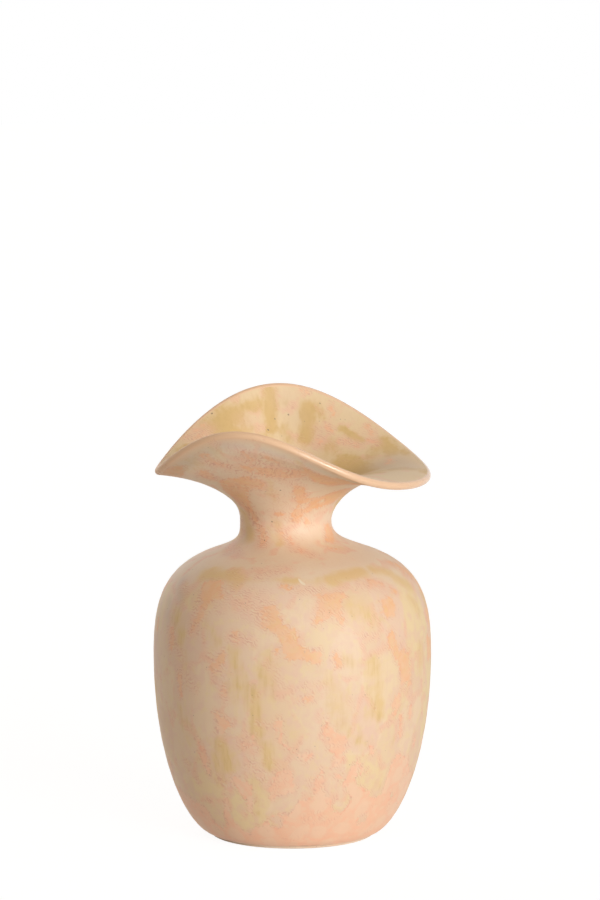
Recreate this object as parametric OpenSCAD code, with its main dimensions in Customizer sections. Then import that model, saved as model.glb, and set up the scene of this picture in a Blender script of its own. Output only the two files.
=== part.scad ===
// Ceramic vase with a round belly, a narrow neck and a wide, ruffled mouth.
// Millimetres. +Z is up, the front of the vase faces -Y, and the origin lies
// on the table, at the centre of the foot ring.
//
// The clay is thrown in sections that are luted together with slip: a floor
// with a turned foot ring, the belly's lower wall, its shoulder, a neck, and a
// mouth that is pulled into waves while it is soft. One coat of glaze covers
// the outside from the heel up and over the lip, and another lines the inside.

/* [Foot and floor] */
// Radius of the foot ring over its outer edge
foot_r = 45; // [40:0.5:52]
// Width of the foot ring's standing face
foot_w = 7; // [5:0.5:10]
// Height of the floor's underside above the table
foot_h = 4; // [3:0.5:5]
// Rounding of the foot ring's lower edges
foot_round = 1; // [0.6:0.1:1.4]

/* [Belly] */
// Radius of the belly where it is widest, over the glaze
belly_r = 76; // [72:0.5:82]
// Height at which the belly is widest
belly_z = 100; // [94:1:108]
// Distance by which the glazed heel stands out past the foot ring
heel_overhang = 1.5; // [1.5:0.1:4]
// Height at which the outer glaze ends above the table
heel_z = 1.7; // [1.6:0.1:2.4]
// Angle at which the heel leaves the foot, above level
heel_rise = 19; // [15:1:30]
// Distance over which the heel keeps to that angle
heel_reach = 13; // [10:1:18]
// Distance over which the wall stays upright below the widest part
belly_below = 58; // [45:1:65]
// Distance over which the wall stays upright above the widest part
belly_above = 29; // [24:1:34]
// Radius of the seam between belly and neck, over the glaze
seam_r = 43; // [40:0.5:46]
// Height of that seam
seam_z = 157; // [154:1:160]
// Angle of the shoulder at the seam, above level
shoulder_rise = 19; // [14:1:25]
// Distance over which the shoulder keeps to that angle below the seam
shoulder_reach = 29.5; // [22:0.5:34]

/* [Neck] */
// Radius of the neck's waist, over the glaze
waist_r = 25; // [22:0.5:29]
// Height of the waist
waist_z = 172.6; // [170:0.2:178]
// Distance by which the waist stands to the left of the belly
neck_lean = 3.6; // [0:0.1:5]
// Distance over which the neck keeps to the shoulder's angle
neck_reach = 16; // [12:0.5:18]
// Distance over which the neck stands upright below its waist
waist_below = 8; // [5:0.5:10]
// Distance over which the mouth stands upright above the waist
waist_above = 9; // [6:0.5:12]

/* [Mouth plan] */
// Distance by which the rim's mean radius is smaller than the belly's
rim_inset = 6.2; // [2:0.2:10]
// Distance by which the rim is drawn to one side
rim_draw = 7.7; // [0:0.1:9]
// Direction in which the rim is drawn, in degrees
rim_draw_turn = -85; // [-180:1:180]
// Distance by which the rim is longer one way than the other
rim_oval = 3.5; // [0:0.1:6]
// Direction of the rim's longer way, in degrees
rim_oval_turn = 24; // [-90:1:90]

/* [Mouth waves] */
// Mean height of the rim
rim_z = 213.7; // [208:0.5:222]
// Height of the tilt that lifts one side of the rim
tilt_h = 13.1; // [0:0.1:15]
// Direction of the side that the tilt lifts, in degrees
tilt_turn = 120; // [-180:1:180]
// Height of the double wave that lifts back and front
double_h = 15.3; // [0:0.1:17]
// Direction of the double wave's first crest, in degrees
double_turn = 85.5; // [-90:0.5:90]
// Height of the triple wave that makes the crests uneven
triple_h = 4.8; // [0:0.1:6]
// Direction of the triple wave's first crest, in degrees
triple_turn = 1; // [-60:1:60]
// Height of the fourfold wave
fourfold_h = 1.9; // [0:0.1:3]
// Direction of the fourfold wave's first crest, in degrees
fourfold_turn = -26; // [-45:1:45]

/* [Mouth slope] */
// Mean angle of the wall at the rim, above level
lip_rise = 25.7; // [15:0.5:35]
// Angle that the tilt adds on its high side
tilt_rise = 22.8; // [0:0.2:26]
// Direction in which the tilt steepens the wall, in degrees
tilt_rise_turn = 125; // [-180:1:180]
// Angle that the double wave adds at its crests
double_rise = 28.9; // [0:0.2:32]
// Direction of the double wave's steepest side, in degrees
double_rise_turn = 82; // [-90:1:90]
// Angle that the triple wave adds at its crests
triple_rise = 8.2; // [0:0.2:10]
// Direction of the triple wave's steepest side, in degrees
triple_rise_turn = -2; // [-60:1:60]
// Distance over which the wall keeps to its angle below the rim
lip_reach = 37.5; // [28:0.5:42]

/* [Walls] */
// Thickness of the clay at the heel
heel_wall = 8; // [7:0.5:10]
// Thickness of the clay in the belly
belly_wall = 5.5; // [4.5:0.1:7]
// Thickness of the clay at the neck's waist
neck_wall = 5; // [4:0.1:6]
// Thickness of the clay at the lip
lip_wall = 3.4; // [3:0.1:4.5]
// Thickness of each coat of glaze
glaze_t = 0.5; // [0.3:0.1:0.8]

/* [Hidden] */

clay_colour = [0.72, 0.55, 0.40];
shoulder_colour = [0.74, 0.58, 0.43];
slab_colour = [0.66, 0.50, 0.36];
neck_colour = [0.76, 0.60, 0.45];
mouth_colour = [0.80, 0.64, 0.48];
glaze_colour = [0.93, 0.74, 0.56];
liner_colour = [0.88, 0.78, 0.58];

// Steps along each stretch of the profile, and steps round the mouth
heel_steps = 16;
shoulder_steps = 14;
neck_steps = 5;
mouth_steps = 9;
lip_steps = 4;
turn_steps = 60;

// The share of its height below the widest part over which the wall thins
thin_share = 0.45;

// Curves in the half plane of radius and height. A curve is four points, and
// a station on it is its place, its outward direction and its onward one.
function on_curve(c, t) =
    pow(1 - t, 3) * c[0] + 3 * pow(1 - t, 2) * t * c[1]
    + 3 * (1 - t) * t * t * c[2] + t * t * t * c[3];
function pace(c, t) =
    pow(1 - t, 2) * (c[1] - c[0]) + 2 * (1 - t) * t * (c[2] - c[1])
    + t * t * (c[3] - c[2]);
function unit(v) = v / norm(v);
function mix(a, b, t) = a + (b - a) * t;
function smooth(t) = t * t * (3 - 2 * t);
function angled(a) = [cos(a), sin(a)];
function station(c, t) =
    let (onward = unit(pace(c, t)))
    [on_curve(c, t), [onward[1], -onward[0]], onward];
// A place at a depth below a station's glazed face
function sunk(s, depth) = s[0] - depth * s[1];

heel_point = [foot_r + heel_overhang, heel_z];
wide_point = [belly_r, belly_z];
seam_point = [seam_r, seam_z];
waist_point = [waist_r, waist_z];

heel_curve = [
    heel_point,
    heel_point + heel_reach * angled(heel_rise),
    wide_point - [0, belly_below],
    wide_point
];
shoulder_curve = [
    wide_point,
    wide_point + [0, belly_above],
    seam_point - shoulder_reach * angled(180 - shoulder_rise),
    seam_point
];
neck_curve = [
    seam_point,
    seam_point + neck_reach * angled(180 - shoulder_rise),
    waist_point - [0, waist_below],
    waist_point
];

// The belly's stations, and the clay's thickness at each
lower_stations = [for (i = [0:heel_steps]) station(heel_curve, i / heel_steps)];
upper_stations = [for (i = [0:shoulder_steps]) station(shoulder_curve, i / shoulder_steps)];
function belly_clay(s) =
    let (up = (s[0][1] - heel_z) / (thin_share * (belly_z - heel_z)))
    mix(heel_wall, belly_wall, smooth(min(1, max(0, up))));
// The turned length of each coat of glaze stops a hair short of the seam, so
// that it stays a solid beside the length that covers the neck and mouth
seam_gap = 0.05;
coat_stations = [
    each lower_stations,
    for (i = [1:shoulder_steps - 1]) upper_stations[i],
    station(shoulder_curve, 1 - seam_gap / (3 * shoulder_reach))
];
function outer_clay(s) = sunk(s, glaze_t);
function inner_clay(s) = sunk(s, glaze_t + belly_clay(s));
function liner_face(s) = sunk(s, 2 * glaze_t + belly_clay(s));

heel_station = lower_stations[0];
heel_out = outer_clay(heel_station);
heel_in = inner_clay(heel_station);
// Where the wall's foot crosses the floor's underside
function on_joint(z) =
    mix(heel_out[0], heel_in[0], (z - heel_out[1]) / (heel_in[1] - heel_out[1]));

// The rim at an azimuth: radius, height and angle of the wall
rim_r = belly_r - rim_inset;
function wave(size, count, turn, a) = size * cos(count * (a - turn));
function rim_point(a) = [
    rim_r + wave(rim_draw, 1, rim_draw_turn, a) + wave(rim_oval, 2, rim_oval_turn, a),
    rim_z + wave(tilt_h, 1, tilt_turn, a) + wave(double_h, 2, double_turn, a)
        + wave(triple_h, 3, triple_turn, a) + wave(fourfold_h, 4, fourfold_turn, a)
];
function rim_rise(a) =
    lip_rise + wave(tilt_rise, 1, tilt_rise_turn, a)
    + wave(double_rise, 2, double_rise_turn, a)
    + wave(triple_rise, 3, triple_rise_turn, a);
function mouth_curve(a) = [
    waist_point,
    waist_point + [0, waist_above],
    rim_point(a) - lip_reach * angled(rim_rise(a)),
    rim_point(a)
];

// The waist stands aside, and the lean fades to the seam and to the rim
function lean_below(t) = 3 * (1 - t) * t * t + t * t * t;
function lean_above(t) = pow(1 - t, 3) + 3 * pow(1 - t, 2) * t;
function around(p, a, lean) = [
    p[0] * cos(a) - neck_lean * lean,
    p[0] * sin(a),
    p[1]
];
azimuths = [for (j = [0:turn_steps - 1]) 360 * j / turn_steps];

// Rings of points at a level of the neck or mouth, at a depth below the glaze
function neck_clay(t) = mix(belly_wall, neck_wall, t);
function mouth_clay(t) = mix(neck_wall, lip_wall, t);
function neck_ring(t, depth) =
    let (s = station(neck_curve, t))
    [for (a = azimuths) around(sunk(s, depth), a, lean_below(t))];
function mouth_ring(t, depth) =
    [for (a = azimuths) around(sunk(station(mouth_curve(a), t), depth), a, lean_above(t))];
// A ring on the rounded lip: swing 0 is its outer edge and 180 its inner one
lip_centre = glaze_t + lip_wall / 2;
function lip_ring(radius, swing) = [
    for (a = azimuths)
        let (s = station(mouth_curve(a), 1))
        around(sunk(s, lip_centre) + radius * (cos(swing) * s[1] + sin(swing) * s[2]), a, 0)
];
function neck_out(depth) = [
    for (i = [0:neck_steps]) neck_ring(i / neck_steps, depth)
];
function neck_in(layers) = [
    for (i = [0:neck_steps])
        let (t = i / neck_steps)
        neck_ring(t, layers * glaze_t + neck_clay(t))
];
function mouth_out(depth) = [
    for (i = [0:mouth_steps]) mouth_ring(i / mouth_steps, depth)
];
function mouth_in(layers) = [
    for (i = [0:mouth_steps])
        let (t = i / mouth_steps)
        mouth_ring(t, layers * glaze_t + mouth_clay(t))
];
function lip_arc(radius) = [
    for (k = [1:lip_steps - 1]) lip_ring(radius, 180 * k / lip_steps)
];
function past_first(rings) = [for (i = [1:len(rings) - 1]) rings[i]];
function turned(rings) = [for (i = [len(rings) - 1:-1:0]) rings[i]];

// A solid that goes round the vase, skinned over a closed loop of rings. A
// loop that runs up its inner side is inside out and has its faces flipped.
module skinned(rings, flip = false) {
    m = len(rings);
    n = turn_steps;
    points = [for (ring = rings) each ring];
    faces = [
        for (i = [0:m - 1], j = [0:n - 1])
            let (
                k = (i + 1) % m,
                l = (j + 1) % n,
                a = i * n + j,
                b = i * n + l,
                c = k * n + l,
                d = k * n + j
            )
            each (flip ? [[a, b, c], [a, c, d]] : [[c, b, a], [d, c, a]])
    ];
    polyhedron(points = points, faces = faces, convexity = 8);
}

// Turned ring of bare clay that the vase stands on
module foot_ring() {
    color(clay_colour)
    rotate_extrude($fn = 96)
    polygon([
        [foot_r - foot_w, foot_h],
        [foot_r - foot_w, foot_round],
        [foot_r - foot_w + foot_round, 0],
        [foot_r - foot_round, 0],
        [foot_r, foot_round],
        heel_out,
        [on_joint(foot_h), foot_h]
    ]);
}

// Flat floor, bevelled at its edge, that closes the belly
module base_slab() {
    color(slab_colour)
    rotate_extrude($fn = 96)
    polygon([[0, foot_h], [on_joint(foot_h), foot_h], heel_in, [0, heel_in[1]]]);
}

// A turned wall of clay through a row of stations
module thrown_wall(stations) {
    rotate_extrude($fn = 96)
    polygon(concat(
        [for (s = stations) outer_clay(s)],
        turned([for (s = stations) inner_clay(s)])
    ));
}

// Wall of the belly from the heel up to where it is widest
module lower_belly() {
    color(clay_colour)
    thrown_wall(lower_stations);
}

// Shoulder that draws the belly in from its widest part to the neck's seam
module shoulder() {
    color(shoulder_colour)
    thrown_wall(upper_stations);
}

// Neck, luted on the shoulder, which leans a little to the left
module neck_collar() {
    color(neck_colour)
    skinned(concat(neck_out(glaze_t), turned(neck_in(1))));
}

// Mouth that opens from the waist into a waved rim with a rounded lip
module flared_mouth() {
    color(mouth_colour)
    skinned(concat(mouth_out(glaze_t), lip_arc(lip_wall / 2), turned(mouth_in(1))));
}

// Coat of glaze on the outside, which goes over the lip
module outer_glaze() {
    color(glaze_colour)
    union() {
        rotate_extrude($fn = 96)
        polygon(concat(
            [for (s = coat_stations) s[0]],
            turned([for (s = coat_stations) outer_clay(s)])
        ));
        skinned(
            concat(
                neck_out(glaze_t),
                past_first(mouth_out(glaze_t)),
                lip_arc(lip_wall / 2),
                [lip_ring(lip_wall / 2, 180), lip_ring(lip_centre, 180)],
                turned(lip_arc(lip_centre)),
                turned(mouth_out(0)),
                past_first(turned(neck_out(0)))
            ),
            flip = true
        );
    }
}

// Coat of glaze that lines the floor, the belly, the neck and the mouth
module liner_glaze() {
    floor_face = liner_face(heel_station);
    color(liner_colour)
    union() {
        rotate_extrude($fn = 96)
        polygon(concat(
            [[0, heel_in[1]]],
            [for (s = coat_stations) inner_clay(s)],
            turned([for (s = coat_stations) liner_face(s)]),
            [[0, floor_face[1]]]
        ));
        skinned(
            concat(
                neck_in(2),
                past_first(mouth_in(2)),
                turned(mouth_in(1)),
                past_first(turned(neck_in(1)))
            ),
            flip = true
        );
    }
}

foot_ring();
base_slab();
lower_belly();
shoulder();
neck_collar();
flared_mouth();
outer_glaze();
liner_glaze();
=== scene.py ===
"""A hand-thrown ceramic vase with a ruffled mouth, in a plain pale studio.

The vase is one profile that is turned round the foot's axis and pulled into
waves at the mouth. Every piece of clay and glaze is a closed section of that
form, spun round the axis and then pulled to its place. Lengths are in metres.
"""

import logging
import math
import random
from dataclasses import dataclass, field
from enum import Enum
from typing import Callable

import bpy
import numpy as np
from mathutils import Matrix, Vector


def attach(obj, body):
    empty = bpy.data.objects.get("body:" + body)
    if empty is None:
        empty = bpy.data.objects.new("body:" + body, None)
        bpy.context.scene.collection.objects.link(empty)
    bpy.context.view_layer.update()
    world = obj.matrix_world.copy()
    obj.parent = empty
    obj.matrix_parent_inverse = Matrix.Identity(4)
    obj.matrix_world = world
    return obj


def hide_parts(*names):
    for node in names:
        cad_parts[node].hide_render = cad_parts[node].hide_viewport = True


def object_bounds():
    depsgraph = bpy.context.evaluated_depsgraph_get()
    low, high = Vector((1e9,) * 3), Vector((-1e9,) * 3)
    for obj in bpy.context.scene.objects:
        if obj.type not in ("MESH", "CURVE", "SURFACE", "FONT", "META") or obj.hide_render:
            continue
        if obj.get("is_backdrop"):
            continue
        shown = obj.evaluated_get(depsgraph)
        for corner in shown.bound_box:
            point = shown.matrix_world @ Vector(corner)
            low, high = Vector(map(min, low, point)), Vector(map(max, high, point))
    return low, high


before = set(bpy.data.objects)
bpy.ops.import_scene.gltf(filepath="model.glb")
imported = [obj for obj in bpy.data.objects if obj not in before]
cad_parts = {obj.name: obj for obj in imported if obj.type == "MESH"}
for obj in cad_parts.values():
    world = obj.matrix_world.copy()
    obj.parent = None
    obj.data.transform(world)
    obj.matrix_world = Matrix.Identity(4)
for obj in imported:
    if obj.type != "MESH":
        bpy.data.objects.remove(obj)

CAD_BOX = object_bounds()
LOG = logging.getLogger("vase")
MM = 0.001
FULL_TURN = 360.0
FRONT = 270.0
BODY = "root"
HALVINGS = 24
TINY = MM * MM * MM
# Levels up the vase's profile
HEEL, WIDEST, SEAM, WAIST, RIM = 0.0, 1.0, 2.0, 3.0, 4.0

Array = np.ndarray
Ring = Callable[[Array], Array]
Triple = tuple[float, float, float]
Colour = Triple
Zone = tuple[float, float]
Outline = tuple[Zone, ...]
Rows = tuple[tuple[float, ...], ...]
Piece = bpy.types.Object
Node = bpy.types.Node
Socket = bpy.types.NodeSocket
Feed = Socket | Triple | float


class Face(Enum):
    """The four faces of the wall, from the outside to the inside."""

    GLAZED = "outside of the outer glaze"
    CLAY_OUT = "outside of the clay"
    CLAY_IN = "inside of the clay"
    LINED = "inside of the liner glaze"


class Stain(Enum):
    """The marks that break the ground colour, each kept as an attribute of the mesh. Some olive, fleck
    and mauve touches also lay painted shade.
    """

    PEACH = "peach"
    OLIVE = "olive"
    FLECK = "fleck"
    MAUVE = "mauve"
    LIP = "lip"
    TAPER = "taper"


@dataclass(frozen=True)
class Wave:
    """One cosine wave round the vase: its size, its crests in a turn and its first crest."""

    size: float
    count: int
    turn: float

    def at(self, azimuth: Array) -> Array:
        """Returns the wave's height at azimuths in degrees."""
        return self.size * np.cos(np.radians(self.count * (azimuth - self.turn)))


@dataclass(frozen=True)
class VaseForm:
    """The vase's profile and how it changes round the axis.

    A level of 0 to 4 runs up the profile: 0 at the heel, 1 at the widest part,
    2 at the seam of shoulder and neck, 3 at the waist and 4 at the rim.
    Azimuths are in degrees, and the front of the vase is at FRONT. The values
    from uneven to liner_turn shape the slight unevenness of the glaze.
    """

    foot_r: float = 45.0 * MM
    foot_w: float = 7.0 * MM
    foot_h: float = 4.0 * MM
    foot_round: float = 1.0 * MM
    heel_overhang: float = 1.5 * MM
    heel_z: float = 1.7 * MM
    heel_rise: float = 19.0
    heel_reach: float = 13.0 * MM
    belly_r: float = 76.0 * MM
    belly_z: float = 100.0 * MM
    belly_below: float = 58.0 * MM
    belly_above: float = 29.0 * MM
    seam_r: float = 43.0 * MM
    seam_z: float = 157.0 * MM
    shoulder_rise: float = 19.0
    shoulder_reach: float = 29.5 * MM
    waist_r: float = 25.0 * MM
    waist_z: float = 172.6 * MM
    neck_lean: float = 3.6 * MM
    neck_reach: float = 16.0 * MM
    waist_below: float = 8.0 * MM
    waist_above: float = 9.0 * MM
    rim_inset: float = 6.3 * MM
    rim_z: float = 213.55 * MM
    lip_rise: float = 25.7
    lip_reach: float = 37.5 * MM
    heel_wall: float = 8.0 * MM
    belly_wall: float = 5.5 * MM
    neck_wall: float = 5.0 * MM
    lip_wall: float = 3.4 * MM
    glaze_t: float = 0.5 * MM
    thin_share: float = 0.45
    uneven: float = 0.16 * MM
    throwing_rings: float = 9.0
    throwing_share: float = 0.35
    flow_waves: float = 3.0
    flow_twist: float = 170.0
    fade_rate: float = 4.0
    liner_turn: float = 40.0
    rim_plan: tuple[Wave, ...] = (Wave(7.7 * MM, 1, -85.0), Wave(3.5 * MM, 2, 24.0))
    rim_heights: tuple[Wave, ...] = (
        Wave(13.1 * MM, 1, 120.0),
        Wave(15.3 * MM, 2, 85.5),
        Wave(4.8 * MM, 3, 1.0),
        Wave(1.9 * MM, 4, -26.0),
    )
    rim_slopes: tuple[Wave, ...] = (
        Wave(22.8, 1, 125.0),
        Wave(28.9, 2, 82.0),
        Wave(8.2, 3, -2.0),
    )

    def rim(self, azimuth: Array) -> tuple[Array, Array]:
        """Finds the rim at azimuths.

        Args:
            azimuth: degrees round the axis.

        Returns:
            Its radius and height, and the wall's angle there above level.
        """
        radius = self.belly_r - self.rim_inset + sum(w.at(azimuth) for w in self.rim_plan)
        height = self.rim_z + sum(w.at(azimuth) for w in self.rim_heights)
        slope = self.lip_rise + sum(w.at(azimuth) for w in self.rim_slopes)
        return pair(radius, height), slope

    def stretch(self, index: int, azimuth: Array) -> tuple[Array, ...]:
        """Gives the four points of the curve that one stretch of the profile follows.

        Args:
            index: 0 for the belly's lower wall, 1 shoulder, 2 neck, 3 mouth.
            azimuth: degrees round the axis, which only the mouth depends on.

        Returns:
            The curve's start, its two handles and its end, as radius and height.
        """
        heel = pair(self.foot_r + self.heel_overhang, self.heel_z)
        wide = pair(self.belly_r, self.belly_z)
        seam = pair(self.seam_r, self.seam_z)
        waist = pair(self.waist_r, self.waist_z)
        inward = angled(180.0 - self.shoulder_rise)
        if index == 0:
            handle = heel + self.heel_reach * angled(self.heel_rise)
            return heel, handle, wide - pair(0.0, self.belly_below), wide
        if index == 1:
            above = wide + pair(0.0, self.belly_above)
            return wide, above, seam - self.shoulder_reach * inward, seam
        if index == 2:
            below = waist - pair(0.0, self.waist_below)
            return seam, seam + self.neck_reach * inward, below, waist
        rim, slope = self.rim(azimuth)
        above = waist + pair(0.0, self.waist_above)
        return waist, above, rim - self.lip_reach * angled(slope), rim

    def station(self, level: float, azimuth: Array) -> tuple[Array, ...]:
        """Finds places on the glazed face.

        Args:
            level: 0 to 4 up the profile.
            azimuth: degrees round the axis.

        Returns:
            The places, their outward directions and their onward ones, as radius and height.
        """
        index = min(3, int(level))
        t = level - index
        a, b, c, d = self.stretch(index, azimuth)
        s = 1.0 - t
        place = s**3 * a + 3.0 * s * s * t * b + 3.0 * s * t * t * c + t**3 * d
        onward = s * s * (b - a) + 2.0 * s * t * (c - b) + t * t * (d - c)
        onward = onward / np.linalg.norm(onward, axis=-1, keepdims=True)
        return place, pair(onward[..., 1], -onward[..., 0]), onward

    def clay(self, level: float) -> float:
        """Gives the clay's thickness.

        Args:
            level: 0 to 4 up the profile.

        Returns:
            The thickness of the wall there.
        """
        if level >= WAIST:
            return mix(self.neck_wall, self.lip_wall, level - WAIST)
        if level >= SEAM:
            return mix(self.belly_wall, self.neck_wall, level - SEAM)
        up = (self.height(level) - self.heel_z) / (self.thin_share * (self.belly_z - self.heel_z))
        return mix(self.heel_wall, self.belly_wall, eased(up))

    def depth(self, face: Face, level: float, azimuth: Array) -> Array:
        """Gives a face's depth below the true glazed face.

        Args:
            face: the face of the wall.
            level: 0 to 4 up the profile.
            azimuth: degrees round the axis.

        Returns:
            The depths, with the slight unevenness of a coat of glaze.
        """
        if face is Face.GLAZED:
            return self.hollow(level, azimuth)
        below = self.glaze_t if face is Face.CLAY_OUT else self.glaze_t + self.clay(level)
        if face is not Face.LINED:
            return np.full(len(azimuth), below)
        return below + self.glaze_t - self.hollow(level, azimuth + self.liner_turn)

    def hollow(self, level: float, azimuth: Array) -> Array:
        """Gives the depth of the throwing rings and of the glaze's uneven flow.

        Args:
            level: 0 to 4 up the profile.
            azimuth: degrees round the axis.

        Returns:
            The depths, which fade out at the heel and the rim.
        """
        rings = 0.5 + 0.5 * np.sin(np.radians(FULL_TURN * self.throwing_rings * level + azimuth))
        flow = 0.5 + 0.5 * np.sin(np.radians(self.flow_waves * azimuth + self.flow_twist * level))
        fade = eased(self.fade_rate * level) * eased(self.fade_rate * (RIM - level))
        share = self.throwing_share
        return self.uneven * fade * (share * rings + (1.0 - share) * flow)

    def lean(self, level: float) -> float:
        """Gives how far the profile stands to the left.

        Args:
            level: 0 to 4 up the profile.

        Returns:
            The distance, which is largest at the waist.
        """
        if level < SEAM:
            return 0.0
        if level < WAIST:
            t = level - SEAM
            return self.neck_lean * (3.0 * (1.0 - t) * t * t + t**3)
        t = level - WAIST
        return self.neck_lean * ((1.0 - t) ** 3 + 3.0 * (1.0 - t) ** 2 * t)

    def ring(self, face: Face, level: float) -> Ring:
        """Gives the ring round the vase at a level.

        Args:
            face: the face of the wall.
            level: 0 to 4 up the profile.

        Returns:
            The ring.
        """

        def place(azimuth: Array) -> Array:
            """Finds the ring's points.

            Args:
                azimuth: degrees round the axis.

            Returns:
                Rows of x, y and z.
            """
            spot, outward, _ = self.station(level, azimuth)
            spot = spot - self.depth(face, level, azimuth)[:, None] * outward
            return around(spot, azimuth, self.lean(level))

        return place

    def edge_ring(self, level: float, sunk: float, radius: float, swing: float) -> Ring:
        """Gives a ring on a round edge, such as the lip's.

        Args:
            level: the level of the edge.
            sunk: depth of the edge's centre below the glazed face.
            radius: radius of the round edge.
            swing: 0 outwards, 90 onwards up the profile and 180 inwards.

        Returns:
            The ring.
        """
        way = angled(swing)

        def place(azimuth: Array) -> Array:
            """Finds the ring's points.

            Args:
                azimuth: degrees round the axis.

            Returns:
                Rows of x, y and z.
            """
            spot, outward, onward = self.station(level, azimuth)
            spot = spot + (radius * way[0] - sunk) * outward + radius * way[1] * onward
            return around(spot, azimuth, 0.0)

        return place

    def lip_ring(self, radius: float, swing: float) -> Ring:
        """Gives a ring on the lip's round edge, of a radius and at a swing."""
        return self.edge_ring(RIM, self.glaze_t + 0.5 * self.lip_wall, radius, swing)

    def heel_ring(self, swing: float) -> Ring:
        """Gives a ring on the rolled lower edge of the outer glaze, at a swing."""
        return self.edge_ring(HEEL, 0.5 * self.glaze_t, 0.5 * self.glaze_t, swing)

    def height(self, level: float) -> float:
        """Gives the height of the glazed face at a level of the belly."""
        return float(self.station(level, np.zeros(1))[0][1])

    def section_point(self, face: Face, level: float) -> Array:
        """Finds a place on the section of the turned belly.

        Args:
            face: the face of the wall.
            level: 0 to 2 up the profile.

        Returns:
            Its radius and height.
        """
        front = np.zeros(1)
        spot, outward, _ = self.station(level, front)
        return spot - self.depth(face, level, front)[0] * outward

    def joint_r(self, height: float) -> float:
        """Finds where the wall's foot crosses a height.

        Args:
            height: the height.

        Returns:
            The radius there.
        """
        outer = self.section_point(Face.CLAY_OUT, HEEL)
        inner = self.section_point(Face.CLAY_IN, HEEL)
        return mix(outer[0], inner[0], (height - outer[1]) / (inner[1] - outer[1]))

    def level_at(self, height: float) -> float:
        """Finds the level at which the belly reaches a height, by halving.

        Args:
            height: the height.

        Returns:
            The level, from 0 to 2.
        """
        low, high = HEEL, SEAM
        for _ in range(HALVINGS):
            middle = 0.5 * (low + high)
            if self.height(middle) < height:
                low = middle
            else:
                high = middle
        return low


def pair(radius: Array | float, height: Array | float) -> Array:
    """Returns radii and heights as rows of two."""
    return np.stack([radius, height], axis=-1)


def angled(degrees: Array | float) -> Array:
    """Returns the directions at angles, as rows of radius and height."""
    return pair(np.cos(np.radians(degrees)), np.sin(np.radians(degrees)))


def mix(a: float, b: float, share: float) -> float:
    """Returns the value a share of the way from a to b."""
    return a + (b - a) * share


def eased(share: float) -> float:
    """Returns a share, held between 0 and 1, with a soft start and end."""
    share = min(1.0, max(0.0, share))
    return share * share * (3.0 - 2.0 * share)


def around(spot: Array, azimuth: Array, lean: float) -> Array:
    """Turns rows of radius and height into places in the frame.

    Args:
        spot: the rows.
        azimuth: degrees round the axis, one for each row.
        lean: how far the axis stands to the left.

    Returns:
        Rows of x, y and z.
    """
    turn = np.radians(azimuth)
    radius, height = spot[..., 0], spot[..., 1] + 0.0 * turn
    return np.stack([radius * np.cos(turn) - lean, radius * np.sin(turn), height], axis=-1)


def flat_ring(radius: float, height: float) -> Ring:
    """Gives a plain circle round the axis."""
    return lambda azimuth: around(pair(radius, height), azimuth, 0.0)


def levels(start: float, end: float, steps: int) -> list[float]:
    """Returns levels from start to end, both included."""
    return [mix(start, end, i / steps) for i in range(steps + 1)]


def activate(piece: Piece) -> None:
    """Leaves one object selected and active.

    Args:
        piece: the object.
    """
    bpy.ops.object.select_all(action="DESELECT")
    piece.select_set(True)
    bpy.context.view_layer.objects.active = piece


def vertex_places(piece: Piece) -> Array:
    """Reads where a piece's vertices are.

    Args:
        piece: the mesh object.

    Returns:
        Rows of x, y and z.
    """
    flat = np.empty(3 * len(piece.data.vertices))
    piece.data.vertices.foreach_get("co", flat)
    return flat.reshape(-1, 3)


def ring_numbers(piece: Piece) -> Array:
    """Reads which ring each vertex of a piece belongs to.

    Args:
        piece: the mesh object.

    Returns:
        One number for each vertex.
    """
    numbers = np.empty(len(piece.data.vertices), dtype=np.int32)
    piece.data.attributes["ring"].data.foreach_get("value", numbers)
    return numbers


def write_field(piece: Piece, stain: Stain, values: Array) -> None:
    """Keeps one value for each vertex of a piece under a stain's name.

    Args:
        piece: the mesh object.
        stain: the stain.
        values: one value for each vertex.
    """
    layer = piece.data.attributes.new(stain.value, "FLOAT", "POINT")
    layer.data.foreach_set("value", values.astype(np.float32))


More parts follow.
